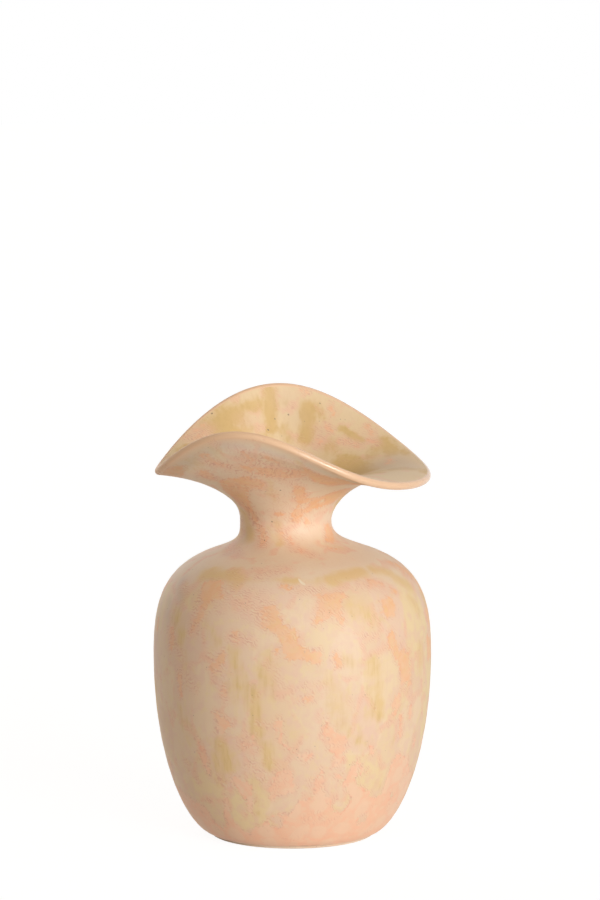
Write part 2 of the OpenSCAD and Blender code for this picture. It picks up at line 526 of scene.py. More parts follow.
@dataclass
class TurnedPiece:
    """One piece of the vase, made from a closed section that is spun round the axis.

    The section is spun into one wedge of a turn, which is then repeated. The
    gather draws the steps together at the front, where the piece is seen.
    """

    name: str
    node: str
    slot: str
    rings: list[Ring]
    turns: int = 192
    wedges: int = 16
    gather: float = 0.0
    crease: float = 35.0
    weld: float = 0.001 * MM

    def build(self) -> Piece:
        """Makes the piece.

        Returns:
            The finished mesh object, at the origin, with its place in its mesh.
        """
        piece = self.draw_section()
        self.spin(piece)
        self.pull(piece)
        return piece

    def draw_section(self) -> Piece:
        """Draws the section as a closed loop of edges in the plane of azimuth 0.

        Returns:
            The mesh object, whose vertices know the numbers of their rings.
        """
        bpy.ops.object.select_all(action="DESELECT")
        bpy.ops.mesh.primitive_circle_add(vertices=len(self.rings), fill_type="NOTHING")
        piece = bpy.context.active_object
        piece.name = self.name
        piece.data.name = self.name
        number = piece.data.attributes.new("ring", "INT", "POINT")
        for i, vertex in enumerate(piece.data.vertices):
            vertex.co = self.rings[i](np.zeros(1))[0]
            number.data[i].value = i
        return piece

    def spin(self, piece: Piece) -> None:
        """Spins the section into one wedge, repeats the wedge and merges its seams and poles.

        Args:
            piece: the mesh object.
        """
        axis = {"center": (0.0, 0.0, 0.0), "axis": (0.0, 0.0, 1.0)}
        wedge = math.tau / self.wedges
        activate(piece)
        bpy.ops.object.mode_set(mode="EDIT")
        bpy.ops.mesh.select_all(action="SELECT")
        bpy.ops.mesh.spin(steps=self.turns // self.wedges, angle=wedge, **axis)
        bpy.ops.mesh.select_all(action="SELECT")
        bpy.ops.mesh.spin(steps=self.wedges - 1, dupli=True, angle=math.tau - wedge, **axis)
        bpy.ops.mesh.select_all(action="SELECT")
        bpy.ops.mesh.remove_doubles(threshold=self.weld)
        bpy.ops.object.mode_set(mode="OBJECT")

    def pull(self, piece: Piece) -> None:
        """Pulls each ring to the form, points the faces outwards and smooths them.

        Args:
            piece: the mesh object.
        """
        places = vertex_places(piece)
        numbers = ring_numbers(piece)
        step = FULL_TURN / self.turns
        azimuths = step * np.round(np.degrees(np.arctan2(places[:, 1], places[:, 0])) / step)
        azimuths -= self.gather * np.degrees(np.sin(np.radians(azimuths - FRONT)))
        for i, ring in enumerate(self.rings):
            mine = numbers == i
            places[mine] = ring(azimuths[mine])
        piece.data.vertices.foreach_set("co", places.ravel())
        activate(piece)
        bpy.ops.object.mode_set(mode="EDIT")
        bpy.ops.mesh.select_all(action="SELECT")
        bpy.ops.mesh.normals_make_consistent(inside=False)
        bpy.ops.object.mode_set(mode="OBJECT")
        bpy.ops.object.shade_smooth_by_angle(angle=math.radians(self.crease))


@dataclass(frozen=True)
class Dab:
    """One touch of a stain: a stroke from start to end with a radius and a strength."""

    start: Array
    end: Array
    radius: float
    strength: float = 1.0

    def distances(self, points: Array) -> Array:
        """Measures how far points lie from the stroke.

        Args:
            points: rows of x, y and z.

        Returns:
            One distance for each point.
        """
        along = self.end - self.start
        length = max(float(along @ along), TINY)
        offset = points - self.start
        share = np.clip(offset @ along / length, 0.0, 1.0)
        return np.linalg.norm(offset - share[:, None] * along, axis=1)


@dataclass(frozen=True)
class Patch:
    """One patch of stain with a drawn outline, as turn and level and as places in the frame."""

    outline: Array
    corners: Array

    def near(self, spots: Array, reach: Zone) -> Array:
        """Tells which spots lie near the outline.

        Args:
            spots: rows of turn and level.
            reach: how far off they may lie, in degrees and levels.

        Returns:
            True or False for each spot.
        """
        low = self.outline.min(axis=0) - reach
        high = self.outline.max(axis=0) + reach
        return np.all((spots > low) & (spots < high), axis=1)

    def depths(self, spots: Array, points: Array) -> Array:
        """Measures how deep inside the outline points lie.

        Args:
            spots: rows of turn and level, one for each point.
            points: rows of x, y and z.

        Returns:
            One distance for each point, below 0 outside the outline.
        """
        inside = np.zeros(len(spots), dtype=bool)
        nearest = np.full(len(spots), np.inf)
        for i in range(len(self.outline)):
            start, end = self.outline[i - 1], self.outline[i]
            if start[1] != end[1]:
                crosses = (spots[:, 1] < start[1]) != (spots[:, 1] < end[1])
                share = (spots[:, 1] - start[1]) / (end[1] - start[1])
                inside ^= crosses & (spots[:, 0] < start[0] + share * (end[0] - start[0]))
            edge = Dab(self.corners[i - 1], self.corners[i], 0.0)
            nearest = np.minimum(nearest, edge.distances(points))
        return np.where(inside, nearest, -nearest)


@dataclass(frozen=True)
class Spread:
    """Where touches may fall by chance, in degrees from the front and levels, and their size."""

    turn_from: float
    turn_to: float
    level_from: float
    level_to: float
    rise: float
    sweep: float
    radius_from: float
    radius_to: float


# Outlines of peach patches on the belly: degrees to the right of the front, height
BELLY_PATCHES = (
    ((-46, 144.5), (-41, 145.5), (-36, 146), (-35.5, 143), (-33, 140), (-31, 137.5), (-35, 137.5),
     (-38, 136), (-40, 133), (-42, 130), (-43, 132), (-43, 135), (-46, 138.5), (-47, 141.5)),
    ((-11, 135.5), (-8, 136.5), (-6.5, 134), (-5.5, 131), (-3.5, 127), (-1.5, 124.5), (1.2, 123),
     (1.6, 120), (2.6, 116), (4.8, 112.8), (7.5, 112), (11, 113), (11.5, 110), (10.5, 106.2),
     (8, 106.3), (4.5, 108), (-1, 107.8), (-2.5, 110.5), (-4, 116), (-5, 121), (-7, 123.7),
     (-10, 124), (-12.5, 125.5), (-13.5, 128.5), (-13, 132.5)),
    ((11, 140.5), (15, 141), (19, 141), (24, 141.5), (25, 139.5), (21.5, 138), (20.5, 134),
     (21.5, 129), (20.8, 126), (19, 129), (17.5, 132), (15, 130), (12.5, 128.8), (10.5, 126.5),
     (9, 128.5), (10.5, 131.5), (12, 134.5), (12.5, 138)),
    ((42, 136), (49, 137), (50.5, 133), (49, 128.5), (44, 127.5), (42, 130), (43, 133)),
    ((43.5, 119), (45.5, 120), (46.5, 114), (48.5, 110), (49, 108), (52.5, 108.5), (56, 106),
     (55.5, 101), (56.5, 95), (58, 90), (56, 87.5), (54, 91), (50, 90), (49.5, 95), (50, 101),
     (47, 105), (45, 109), (43, 112)),
    ((46.5, 83), (49.5, 85.5), (50, 80), (48.5, 76), (46.5, 72.5), (45, 73.5), (46.5, 77), (46, 80)),
    ((-28.5, 110.5), (-28.6, 107), (-30, 104), (-31.5, 101.5), (-34, 100), (-35.5, 101.5),
     (-34, 103.5), (-32, 104.5), (-30.5, 108)),
    ((-33.5, 78), (-31.5, 76.5), (-30.5, 75), (-28, 74), (-25.8, 72), (-28, 70.5), (-29.5, 67.5),
     (-31, 65.5), (-32.5, 67.5), (-33, 72)),
    ((8, 90), (6.5, 88), (4, 86.8), (2.5, 86.3), (3.5, 85), (6, 85.3), (8, 86.5)),
    ((17, 111.5), (18.5, 110.5), (19.5, 107), (19.3, 103.5), (18, 104), (17.5, 107), (16.5, 109.5)),
    ((14.3, 76), (15, 71.5), (17, 69), (20, 66.5), (22, 66.5), (23, 62), (22.5, 58), (22.5, 54),
     (21, 50), (19.5, 50.5), (19, 54), (18, 57), (16, 58.5), (15.5, 62), (16, 65.5), (12, 67),
     (12.3, 71)),
    ((-6, 46), (-3, 48), (0, 47.3), (0.7, 43), (0.3, 36), (-4, 34.5), (-6.5, 33.5), (-8.7, 31),
     (-10, 32.5), (-10, 36.5), (-8.8, 39.5), (-8, 43.5)),
    ((-27.5, 41), (-27, 43), (-24.5, 42.5), (-23, 40.5), (-19.3, 39.5), (-19.3, 36), (-20.3, 32.5),
     (-22.5, 31.5), (-24, 34.5), (-26, 37)),
    ((29.5, 52.5), (30.4, 48), (29.3, 45), (28.5, 41), (30.5, 37), (34, 35.5), (38, 33), (38, 24),
     (27, 20), (27.5, 30), (26, 34), (23.8, 39.5), (25, 43), (26, 46), (27, 49.5)),
    ((49.5, 47), (51, 50.5), (54, 52.5), (57, 49.5), (60.5, 48), (63, 45.5), (65, 42), (69, 38),
     (76, 35), (76, 10), (44, 10), (44, 27), (46.5, 30), (48.5, 34), (48.3, 40), (48.8, 44)),
    ((12.5, 47), (13.6, 42), (13.6, 37), (15.5, 32), (18, 30), (19, 20), (3, 20), (4, 29), (8, 28),
     (10, 31), (9.8, 36), (10, 40.8), (11.8, 43.5)),
    ((-5.5, 146), (-3, 145.8), (0, 144.5), (-0.5, 143.7), (-3, 144), (-5, 144.6)),
    ((52, 141), (55, 140.5), (58, 139), (57, 137.3), (54, 138), (52, 139.5)),
)
# Height that the peach round the foot reaches, at degrees from the front
FOOT_PEACH = (
    (-180, 20), (-150, 27), (-120, 19), (-95, 26), (-75, 28), (-65, 27), (-58, 23.5), (-49, 21.5),
    (-46, 17), (-42, 10), (-38, 12), (-36.5, 19.5), (-34.5, 24), (-32.5, 19), (-31, 15), (-28, 11),
    (-24, 9.5), (-20, 13.5), (-16, 14.5), (-13, 18.5), (-10, 21), (-7, 22.7), (-2, 22), (0, 24),
    (3, 29.5), (5, 30.3), (10, 31), (15, 33), (18, 30.5), (20, 25), (22, 23), (25, 22), (27.5, 25),
    (28.5, 29), (32, 35.5), (38.5, 32.5), (40, 30), (47, 29), (60, 34), (80, 22), (105, 27),
    (130, 19), (155, 26), (180, 20),
)
# Thin strokes of peach on the belly: turn and height of both ends, and radius in millimetres
BELLY_VEINS = (
    (-41.5, 130, -44, 124, 1.4),
    (-44, 124, -47, 118, 0.9),
    (-59, 117, -59, 108, 1.5),
    (-53, 95, -52, 84, 1.3),
    (-28.6, 91, -28.4, 87.5, 0.6),
    (-44, 62, -42.2, 57, 0.8),
    (-42.2, 57, -41, 48, 1.3),
    (-41, 48, -39.5, 44, 0.8),
    (-20.5, 60.5, -17.5, 60.5, 1.3),
    (-18, 60.5, -16.5, 57.5, 1.0),
    (-16.8, 61, -16.1, 66, 0.6),
    (-4.8, 65, -2.5, 61.5, 0.6),
    (-2.5, 61.5, -0.9, 60, 0.9),
    (-0.9, 60, 1.2, 57.5, 0.6),
    (3, 55.5, 6.6, 56, 1.0),
    (4.6, 55.5, 5.2, 54, 1.0),
    (-5.4, 75, -6.3, 72, 1.1),
    (-5, 70, -4.7, 64, 0.4),
    (-19.6, 34, -21.3, 22.5, 0.9),
    (-33, 31, -33.8, 24, 0.6),
    (-23.6, 120.5, -23.2, 118, 1.2),
    (41, 145.5, 47, 143.3, 1.3),
    (50.5, 73, 52.5, 62, 1.1),
    (58, 76, 58.5, 71, 0.8),
    (30.5, 46.5, 33, 44.5, 0.5),
    (33, 44.5, 35.5, 42, 0.5),
    (19.5, 43.6, 21.3, 43, 0.6),
    (35.4, 58, 35.7, 55.5, 0.7),
    (66, 57, 66, 53, 0.9),
    (-6.6, 112.5, -6.4, 111.5, 1.0),
)
# Round pale cells that bite into the peach of the belly: turn, height and radius
BELLY_CELLS = (
    (-42, 17, 6.0),
    (-23.5, 17.5, 6.0),
    (-8.5, 17.5, 4.4),
    (23.6, 28.5, 5.4),
    (38.5, 16.5, 3.6),
    (34, 41.5, 4.8),
    (43.5, 33, 5.6),
    (-1.5, 26, 2.0),
    (56, 27, 2.6),
)
# Soft olive on the belly: turn and height of both ends, radius and strength
BELLY_OLIVE = (
    (-50, 148, -36, 149, 6.5, 0.8),
    (-44, 147.5, -40, 147.5, 4.5, 1.0),
    (-34, 149, -28, 147, 6.0, 0.9),
    (-29, 148, -20, 148, 4.0, 0.45),
    (-20, 148, -5, 148, 3.0, 0.32),
    (-3, 148, 2, 147.8, 3.0, 0.8),
    (6, 147.5, 20, 147.5, 3.5, 0.45),
    (21, 148, 41, 150, 5.0, 0.9),
    (50, 150.5, 60, 147, 4.5, 0.8),
    (61, 146, 68, 140, 5.0, 0.8),
    (64, 134, 68, 126, 5.0, 0.5),
    (-62, 140, -57, 137, 5.0, 0.7),
    (-58, 128, -53, 114, 7.0, 0.6),
    (-38, 124, -32, 116, 7.0, 0.35),
    (26, 137, 36, 127, 8.0, 0.45),
    (-24, 110, -22, 94, 6.0, 0.6),
    (-27, 91, -24, 86, 4.5, 0.5),
    (-18.5, 92, -17, 82, 5.0, 0.5),
    (-15.5, 90, -14, 68, 4.5, 0.75),
    (-11, 108, -9, 92, 7.0, 0.45),
    (-50, 108, -47, 96, 6.0, 0.35),
    (-52, 76, -48, 60, 7.0, 0.35),
    (15, 98, 21, 72, 7.0, 0.45),
    (33, 104, 36, 96, 6.0, 0.55),
    (37, 92, 38, 76, 4.5, 0.75),
    (34, 90, 33.5, 76, 5.0, 0.5),
    (22, 106, 27, 104, 5.0, 0.4),
    (22, 88, 26, 70, 6.0, 0.35),
    (25, 65, 34, 62, 6.0, 0.35),
    (65, 108, 66, 96, 5.0, 0.45),
    (-31, 60, -29, 48, 5.0, 0.8),
    (-35, 52, -33, 40, 6.0, 0.5),
    (-26, 58, -25, 50, 4.5, 0.45),
    (-10.5, 61, -10, 51, 4.5, 0.7),
    (-16, 40, -17, 22, 6.0, 0.3),
    (42, 44, 43, 35, 5.0, 0.3),
    (48, 61, 50, 56, 4.0, 0.3),
    (1, 72, 2, 62, 5.0, 0.25),
)
# Fine pink and brown crackle on the belly, in the same order
BELLY_FLECK = (
    (-62, 141, -57, 139, 3.5, 1.0),
    (-46, 136, -44, 120, 4.0, 1.0),
    (-40, 132, -30, 134, 5.0, 0.5),
    (-30, 142, -14, 138, 7.0, 0.8),
    (-24, 136, -12, 130, 6.0, 0.8),
    (-26, 119, -16, 117, 3.0, 1.0),
    (-18, 150, -4, 153, 5.0, 0.9),
    (4, 143.5, 14, 143.5, 3.5, 1.0),
    (34, 145, 48, 143, 4.5, 0.9),
    (12, 134, 20, 130, 5.0, 0.6),
    (31, 118, 37, 118, 2.5, 1.0),
    (-62, 118, -52, 106, 4.0, 0.8),
    (-52, 98, -44, 90, 4.5, 0.7),
    (-36, 108, -30, 100, 4.0, 0.8),
    (-30, 92, -28, 84, 3.0, 0.8),
    (-8, 104, -4, 92, 4.0, 0.5),
    (4, 94, 12, 94, 3.0, 0.7),
    (-14, 74, -10, 72, 2.0, 0.9),
    (-18, 50, -13, 44, 4.0, 1.0),
    (-34, 40, -30, 36, 3.0, 0.9),
    (-22, 62, -16, 58, 4.0, 0.8),
    (-54, 46, -48, 38, 3.5, 0.8),
    (-44, 28, -42, 25, 2.0, 1.0),
    (8, 42, 10, 36, 2.5, 0.7),
    (20, 32, 21, 31, 1.5, 0.9),
    (24, 84, 27, 80, 2.5, 0.5),
    (22, 62, 24, 60, 2.0, 0.7),
    (50, 112, 56, 108, 3.0, 0.6),
)
# Faint mauve laid as painted shade on the shaded left of the shoulder, in the same order
BELLY_MAUVE_SHADE = (
    (-66, 143, -59, 136, 4.5, 1.3),
    (-68, 132, -64, 122, 4.5, 0.9),
    (-78, 128, -76, 96, 6.0, 0.5),
)
# Outlines of peach patches on the neck and the outside of the mouth, by turn and level
MOUTH_PATCHES = (
    ((-46, 3.70), (-38, 3.70), (-32, 3.66), (-26, 3.68), (-20, 3.66), (-17, 3.60), (-20, 3.56),
     (-27, 3.57), (-31, 3.53), (-34, 3.47), (-37, 3.38), (-39, 3.28), (-41, 3.18), (-46, 3.22),
     (-51, 3.36), (-53, 3.48), (-53, 3.58), (-50, 3.65)),
    ((-45, 3.16), (-38, 3.13), (-34, 3.02), (-29, 2.92), (-26, 2.80), (-26, 2.62), (-28, 2.46),
     (-31, 2.38), (-33, 2.50), (-33, 2.70), (-37, 2.86), (-40, 2.98), (-45, 3.06)),
    ((-26, 3.79), (-18, 3.77), (-10, 3.78), (-2, 3.80), (3, 3.84), (7, 3.87), (9, 3.83), (3, 3.76),
     (-3, 3.72), (-9, 3.70), (-14, 3.69), (-20, 3.72), (-25, 3.75)),
    ((6, 3.90), (12, 3.89), (18, 3.91), (26, 3.94), (34, 3.92), (30, 3.80), (24, 3.75), (17, 3.76),
     (11, 3.79), (7, 3.84)),
    ((4, 3.64), (9, 3.65), (11, 3.60), (13, 3.55), (14, 3.47), (20, 3.47), (30, 3.48), (38, 3.55),
     (50, 3.60), (62, 3.56), (68, 3.44), (58, 3.35), (50, 3.31), (40, 3.28), (30, 3.27), (24, 3.24),
     (19, 3.20), (17, 3.12), (15, 3.04), (10, 3.05), (7, 3.12), (6, 3.22), (9, 3.30), (10, 3.38),
     (8, 3.46), (4, 3.54)),
    ((-88, 3.99), (-70, 3.99), (-58, 3.98), (-55, 3.93), (-62, 3.90), (-75, 3.89), (-90, 3.92)),
    ((58, 2.92), (70, 2.94), (76, 2.80), (68, 2.64), (58, 2.50), (50, 2.42), (45, 2.48), (52, 2.60),
     (56, 2.74)),
    ((-54, 3.84), (-50, 3.85), (-47, 3.81), (-48, 3.75), (-52, 3.74), (-54, 3.78)),
    ((30, 3.95), (42, 3.97), (60, 3.97), (74, 3.92), (66, 3.84), (50, 3.80), (36, 3.82), (30, 3.88)),
)
# Round pale cells that bite into them: turn, level and radius in millimetres
MOUTH_CELLS = (
    (17, 3.35, 2.6),
    (20, 3.41, 1.6),
    (36, 3.40, 1.8),
    (-44, 3.60, 1.6),
    (-20, 3.745, 1.4),
    (-6, 3.745, 1.6),
)
# Strokes of peach there: turn and level of both ends, and radius
MOUTH_PEACH = (
    (-6, 2.85, -4, 2.82, 0.8),
    (2.5, 2.68, 3.4, 2.48, 0.8),
    (8, 2.27, 9, 2.20, 0.5),
    (-19, 3.73, -14, 3.71, 1.1),
    (-12, 3.88, -6, 3.86, 1.0),
    (-22, 3.90, -19, 3.84, 1.1),
    (-38, 3.84, -34, 3.80, 0.8),
    (-42, 3.94, -39, 3.92, 0.7),
    (-8, 3.22, -4, 3.20, 0.5),
    (24, 3.12, 28, 3.04, 0.7),
    (-72, 2.22, -62, 2.10, 1.0),
    (40, 2.30, 44, 2.22, 0.6),
)
# Soft olive there, with its strength
MOUTH_OLIVE = (
    (-56, 3.93, -34, 3.93, 8.0, 0.40),
    (3, 3.93, 10, 3.86, 3.5, 0.50),
    (-62, 3.20, -52, 2.60, 5.0, 0.80),
    (-48, 3.34, -42, 3.16, 4.0, 0.60),
    (-12, 3.05, -9, 2.50, 3.8, 0.60),
    (-20, 2.90, -16, 2.60, 3.5, 0.40),
    (-14, 3.62, -10, 3.40, 5.0, 0.35),
    # This row, at the foot of the neck on the left, is olive that also lays painted shade under the
    # mouth
    (-76, 2.55, -64, 2.15, 7.0, 0.70),
    (56, 3.52, 44, 3.42, 4.0, 0.50),
    (34, 2.50, 50, 2.20, 4.0, 0.30),
    (-30, 3.78, -22, 3.74, 3.0, 0.30),
)
# Fine pink and brown wrinkles there, in the same order
MOUTH_FLECK = (
    (-55, 3.81, -48, 3.74, 4.5, 1.0),
    (-42, 3.88, -30, 3.77, 5.0, 1.0),
    (-25, 3.92, 0, 3.90, 5.0, 0.8),
    (-22, 3.84, 4, 3.80, 6.5, 1.0),
    (-34, 3.80, -24, 3.70, 6.0, 0.9),
    (-16, 3.74, 2, 3.68, 5.0, 0.8),
    (8, 3.90, 20, 3.86, 3.5, 0.6),
    (-46, 3.63, -28, 3.58, 4.0, 0.8),
    (-50, 3.42, -40, 3.16, 4.5, 1.0),
    (-45, 3.12, -36, 2.96, 4.0, 1.0),
    (-34, 2.90, -28, 2.40, 4.5, 1.0),
    (-24, 3.66, -2, 3.40, 8.0, 0.45),
    (6, 3.62, 12, 3.50, 3.0, 0.7),
    (12, 3.12, 20, 3.30, 4.0, 0.6),
    (-12, 3.20, 8, 2.60, 7.0, 0.45),
    (0, 2.70, 4, 2.30, 4.0, 0.9),
    (6, 2.30, 16, 2.12, 4.5, 0.9),
    # These two rows, at the foot of the neck on the left, are wrinkles that also lay painted shade
    # under the mouth
    (-76, 2.30, -56, 2.06, 4.5, 1.0),
    (-60, 2.20, -44, 2.00, 4.5, 0.8),
    (20, 3.00, 40, 2.90, 5.0, 0.3),
)
# Faint mauve there, in the same order; the first three rows, at the foot of the neck on the left, are
# painted shade under the mouth
MOUTH_MAUVE = (
    (-72, 2.26, -54, 2.05, 4.0, 1.5),
    (-56, 2.14, -44, 2.02, 3.5, 1.1),
    (-66, 2.60, -58, 2.36, 3.5, 0.6),
    (-13, 3.935, -4, 3.925, 2.4, 0.9),
    (-29, 3.975, -22, 3.92, 5.0, 0.8),
    (-50, 3.93, -38, 3.95, 7.0, 0.4),
    (5, 3.92, 9, 3.88, 3.0, 0.6),
    (-40, 2.40, -30, 2.20, 5.0, 0.4),
    (22, 3.16, 48, 3.12, 4.0, 0.3),
)
# The same stains on the inside of the mouth, with painted shadow of the lip among the olive
INSIDE_OLIVE = (
    (-128, 3.925, -140, 3.92, 8.5, 1.0),
    (-130, 3.86, -138, 3.80, 7.5, 0.85),
    (-145, 3.93, -160, 3.92, 6.0, 0.65),
    (-166, 3.975, -166, 3.88, 4.5, 1.0),
    (-165, 3.87, -166, 3.78, 4.5, 0.9),
    (-163, 3.77, -163, 3.75, 1.6, 1.0),
    (-170, 3.93, -176, 3.92, 4.0, 0.3),
    (-175, 3.76, -178, 3.70, 4.5, 0.5),
    (-190, 3.90, -191, 3.72, 5.0, 1.0),
    (-194, 3.93, -199, 3.88, 4.0, 0.5),
    (-212, 3.868, -226, 3.868, 2.6, 1.0),
    (-210, 3.73, -220, 3.68, 6.5, 0.5),
    (-236, 3.95, -244, 3.92, 5.5, 1.0),
    (-237, 3.88, -240, 3.80, 5.0, 0.6),
    (-246, 3.97, -248, 3.97, 3.0, 0.9),
    # These two rows, low inside the mouth, are olive glaze darkened further as painted shadow of the
    # lip
    (-232, 3.70, -262, 3.66, 7.0, 1.0),
    (-226, 3.67, -240, 3.60, 7.0, 1.0),
    (-272, 3.985, -278, 3.985, 3.0, 0.8),
    (-103, 3.96, -107, 3.94, 3.0, 0.8),
    (-150, 3.78, -160, 3.72, 6.0, 0.4),
)
INSIDE_PEACH = (
    (-202, 3.965, -202.5, 3.94, 0.9),
    (-204.5, 3.928, -204.7, 3.924, 0.8),
    (-203, 3.832, -207, 3.822, 0.6),
    (-215, 3.79, -216, 3.79, 0.7),
    (-217, 3.81, -223, 3.815, 0.5),
    (-223, 3.815, -227, 3.83, 0.5),
    (-229, 3.90, -232, 3.915, 0.7),
    (-223, 3.965, -227, 3.94, 1.3),
    (-200.5, 3.735, -202, 3.73, 0.9),
    (-186, 3.993, -188, 3.993, 1.0),
    (-117, 3.985, -119, 3.97, 0.8),
    (-122, 3.98, -123, 3.96, 0.7),
    (-114, 3.95, -116, 3.94, 0.6),
    (-118, 3.93, -119, 3.925, 0.6),
    (-252, 3.86, -256, 3.83, 0.9),
)
INSIDE_FLECK = (
    (-112, 3.97, -122, 3.93, 5.0, 0.9),
    (-203, 3.85, -206, 3.81, 3.0, 0.8),
    (-216, 3.79, -228, 3.84, 4.0, 0.9),
    (-229, 3.92, -234, 3.90, 4.0, 0.8),
    (-198, 3.80, -202, 3.70, 4.0, 0.7),
    (-145, 3.85, -152, 3.82, 6.0, 0.3),
    (-226, 3.95, -224, 3.93, 5.0, 0.5),
)
INSIDE_MAUVE = (
    (-252, 3.90, -268, 3.92, 9.0, 0.9),
    (-256, 3.80, -270, 3.84, 9.0, 0.8),
    (-148, 3.86, -153, 3.83, 6.0, 0.3),
    (-174, 3.93, -184, 3.84, 9.0, 0.3),
    (-200, 3.79, -201, 3.68, 4.0, 0.5),
)
# The tables of touches of each stain: on the belly and the mouth outside, and inside
OUTSIDE_TOUCHES = (
    (Stain.PEACH, BELLY_VEINS, MOUTH_PEACH),
    (Stain.OLIVE, BELLY_OLIVE, MOUTH_OLIVE),
    (Stain.FLECK, BELLY_FLECK, MOUTH_FLECK),
    (Stain.MAUVE, BELLY_MAUVE_SHADE, MOUTH_MAUVE),
)
INSIDE_TOUCHES = (
    (Stain.PEACH, INSIDE_PEACH),
    (Stain.OLIVE, INSIDE_OLIVE),
    (Stain.FLECK, INSIDE_FLECK),
    (Stain.MAUVE, INSIDE_MAUVE),
)
SOFT_STAINS = (Stain.OLIVE, Stain.FLECK, Stain.MAUVE)
# Touches by chance at the back of the outside and on the inside: stain, count and spread
OUTSIDE_CHANCE = (
    (Stain.PEACH, 60, Spread(72, 288, 0.30, 1.85, 0.12, 4, 1.0, 2.4)),
    (Stain.PEACH, 16, Spread(80, 280, 2.10, 3.90, 0.14, 14, 1.2, 3.6)),
    (Stain.OLIVE, 34, Spread(76, 284, 0.40, 1.90, 0.20, 3, 3.0, 6.0)),
    (Stain.OLIVE, 8, Spread(80, 280, 2.20, 3.90, 0.16, 6, 4.0, 7.0)),
    (Stain.FLECK, 30, Spread(70, 290, 0.50, 3.90, 0.12, 8, 3.0, 7.0)),
)
INSIDE_CHANCE = (
    (Stain.PEACH, 14, Spread(-100, 90, 3.20, 3.95, 0.12, 10, 1.2, 2.6)),
    (Stain.OLIVE, 14, Spread(-110, 100, 3.20, 3.95, 0.16, 8, 5.0, 9.0)),
    (Stain.OLIVE, 16, Spread(-180, 180, 0.20, 3.20, 0.30, 8, 6.0, 10.0)),
    (Stain.FLECK, 12, Spread(-180, 180, 2.20, 3.95, 0.20, 10, 5.0, 9.0)),
)
# Small single marks outside: turn and level of both ends, radius, and whether it is pale. The dark
# ones at level 0.03 are a dark seam with its painted shadow line, and the pale one at level 3.9 is a
# painted glint under the lip
OUTSIDE_MARKS = (
    (3.4, 1.762, 4.6, 1.725, 0.75, True),
    (4.4, 1.730, 6.0, 1.706, 0.95, True),
    # A dark seam and its painted shadow line, along the glaze's lower edge at the front
    (-3, 0.035, 4, 0.032, 0.32, False),
    (4, 0.032, 11, 0.036, 0.36, False),
    (11, 0.036, 18, 0.044, 0.30, False),
    (12, 3.605, 16.5, 3.60, 0.45, True),
    # A painted glint: the shoulder's reflection in the underside of the lip
    (17, 3.905, 21, 3.915, 0.40, True),
    (-6.6, 3.56, -6.3, 3.56, 0.45, False),
    (-17, 3.08, -16.8, 3.07, 0.40, False),
    (-28, 2.58, -27.8, 2.56, 0.35, False),
)
INSIDE_MARKS = (
    (-130, 3.99, -130.3, 3.99, 0.55, False),
    (-177.5, 3.845, -177.7, 3.843, 0.50, False),
    (-168.5, 3.82, -168.7, 3.818, 0.40, False),
    (-163, 3.76, -163.4, 3.755, 0.50, False),
    (-196, 3.95, -196.2, 3.948, 0.35, False),
)


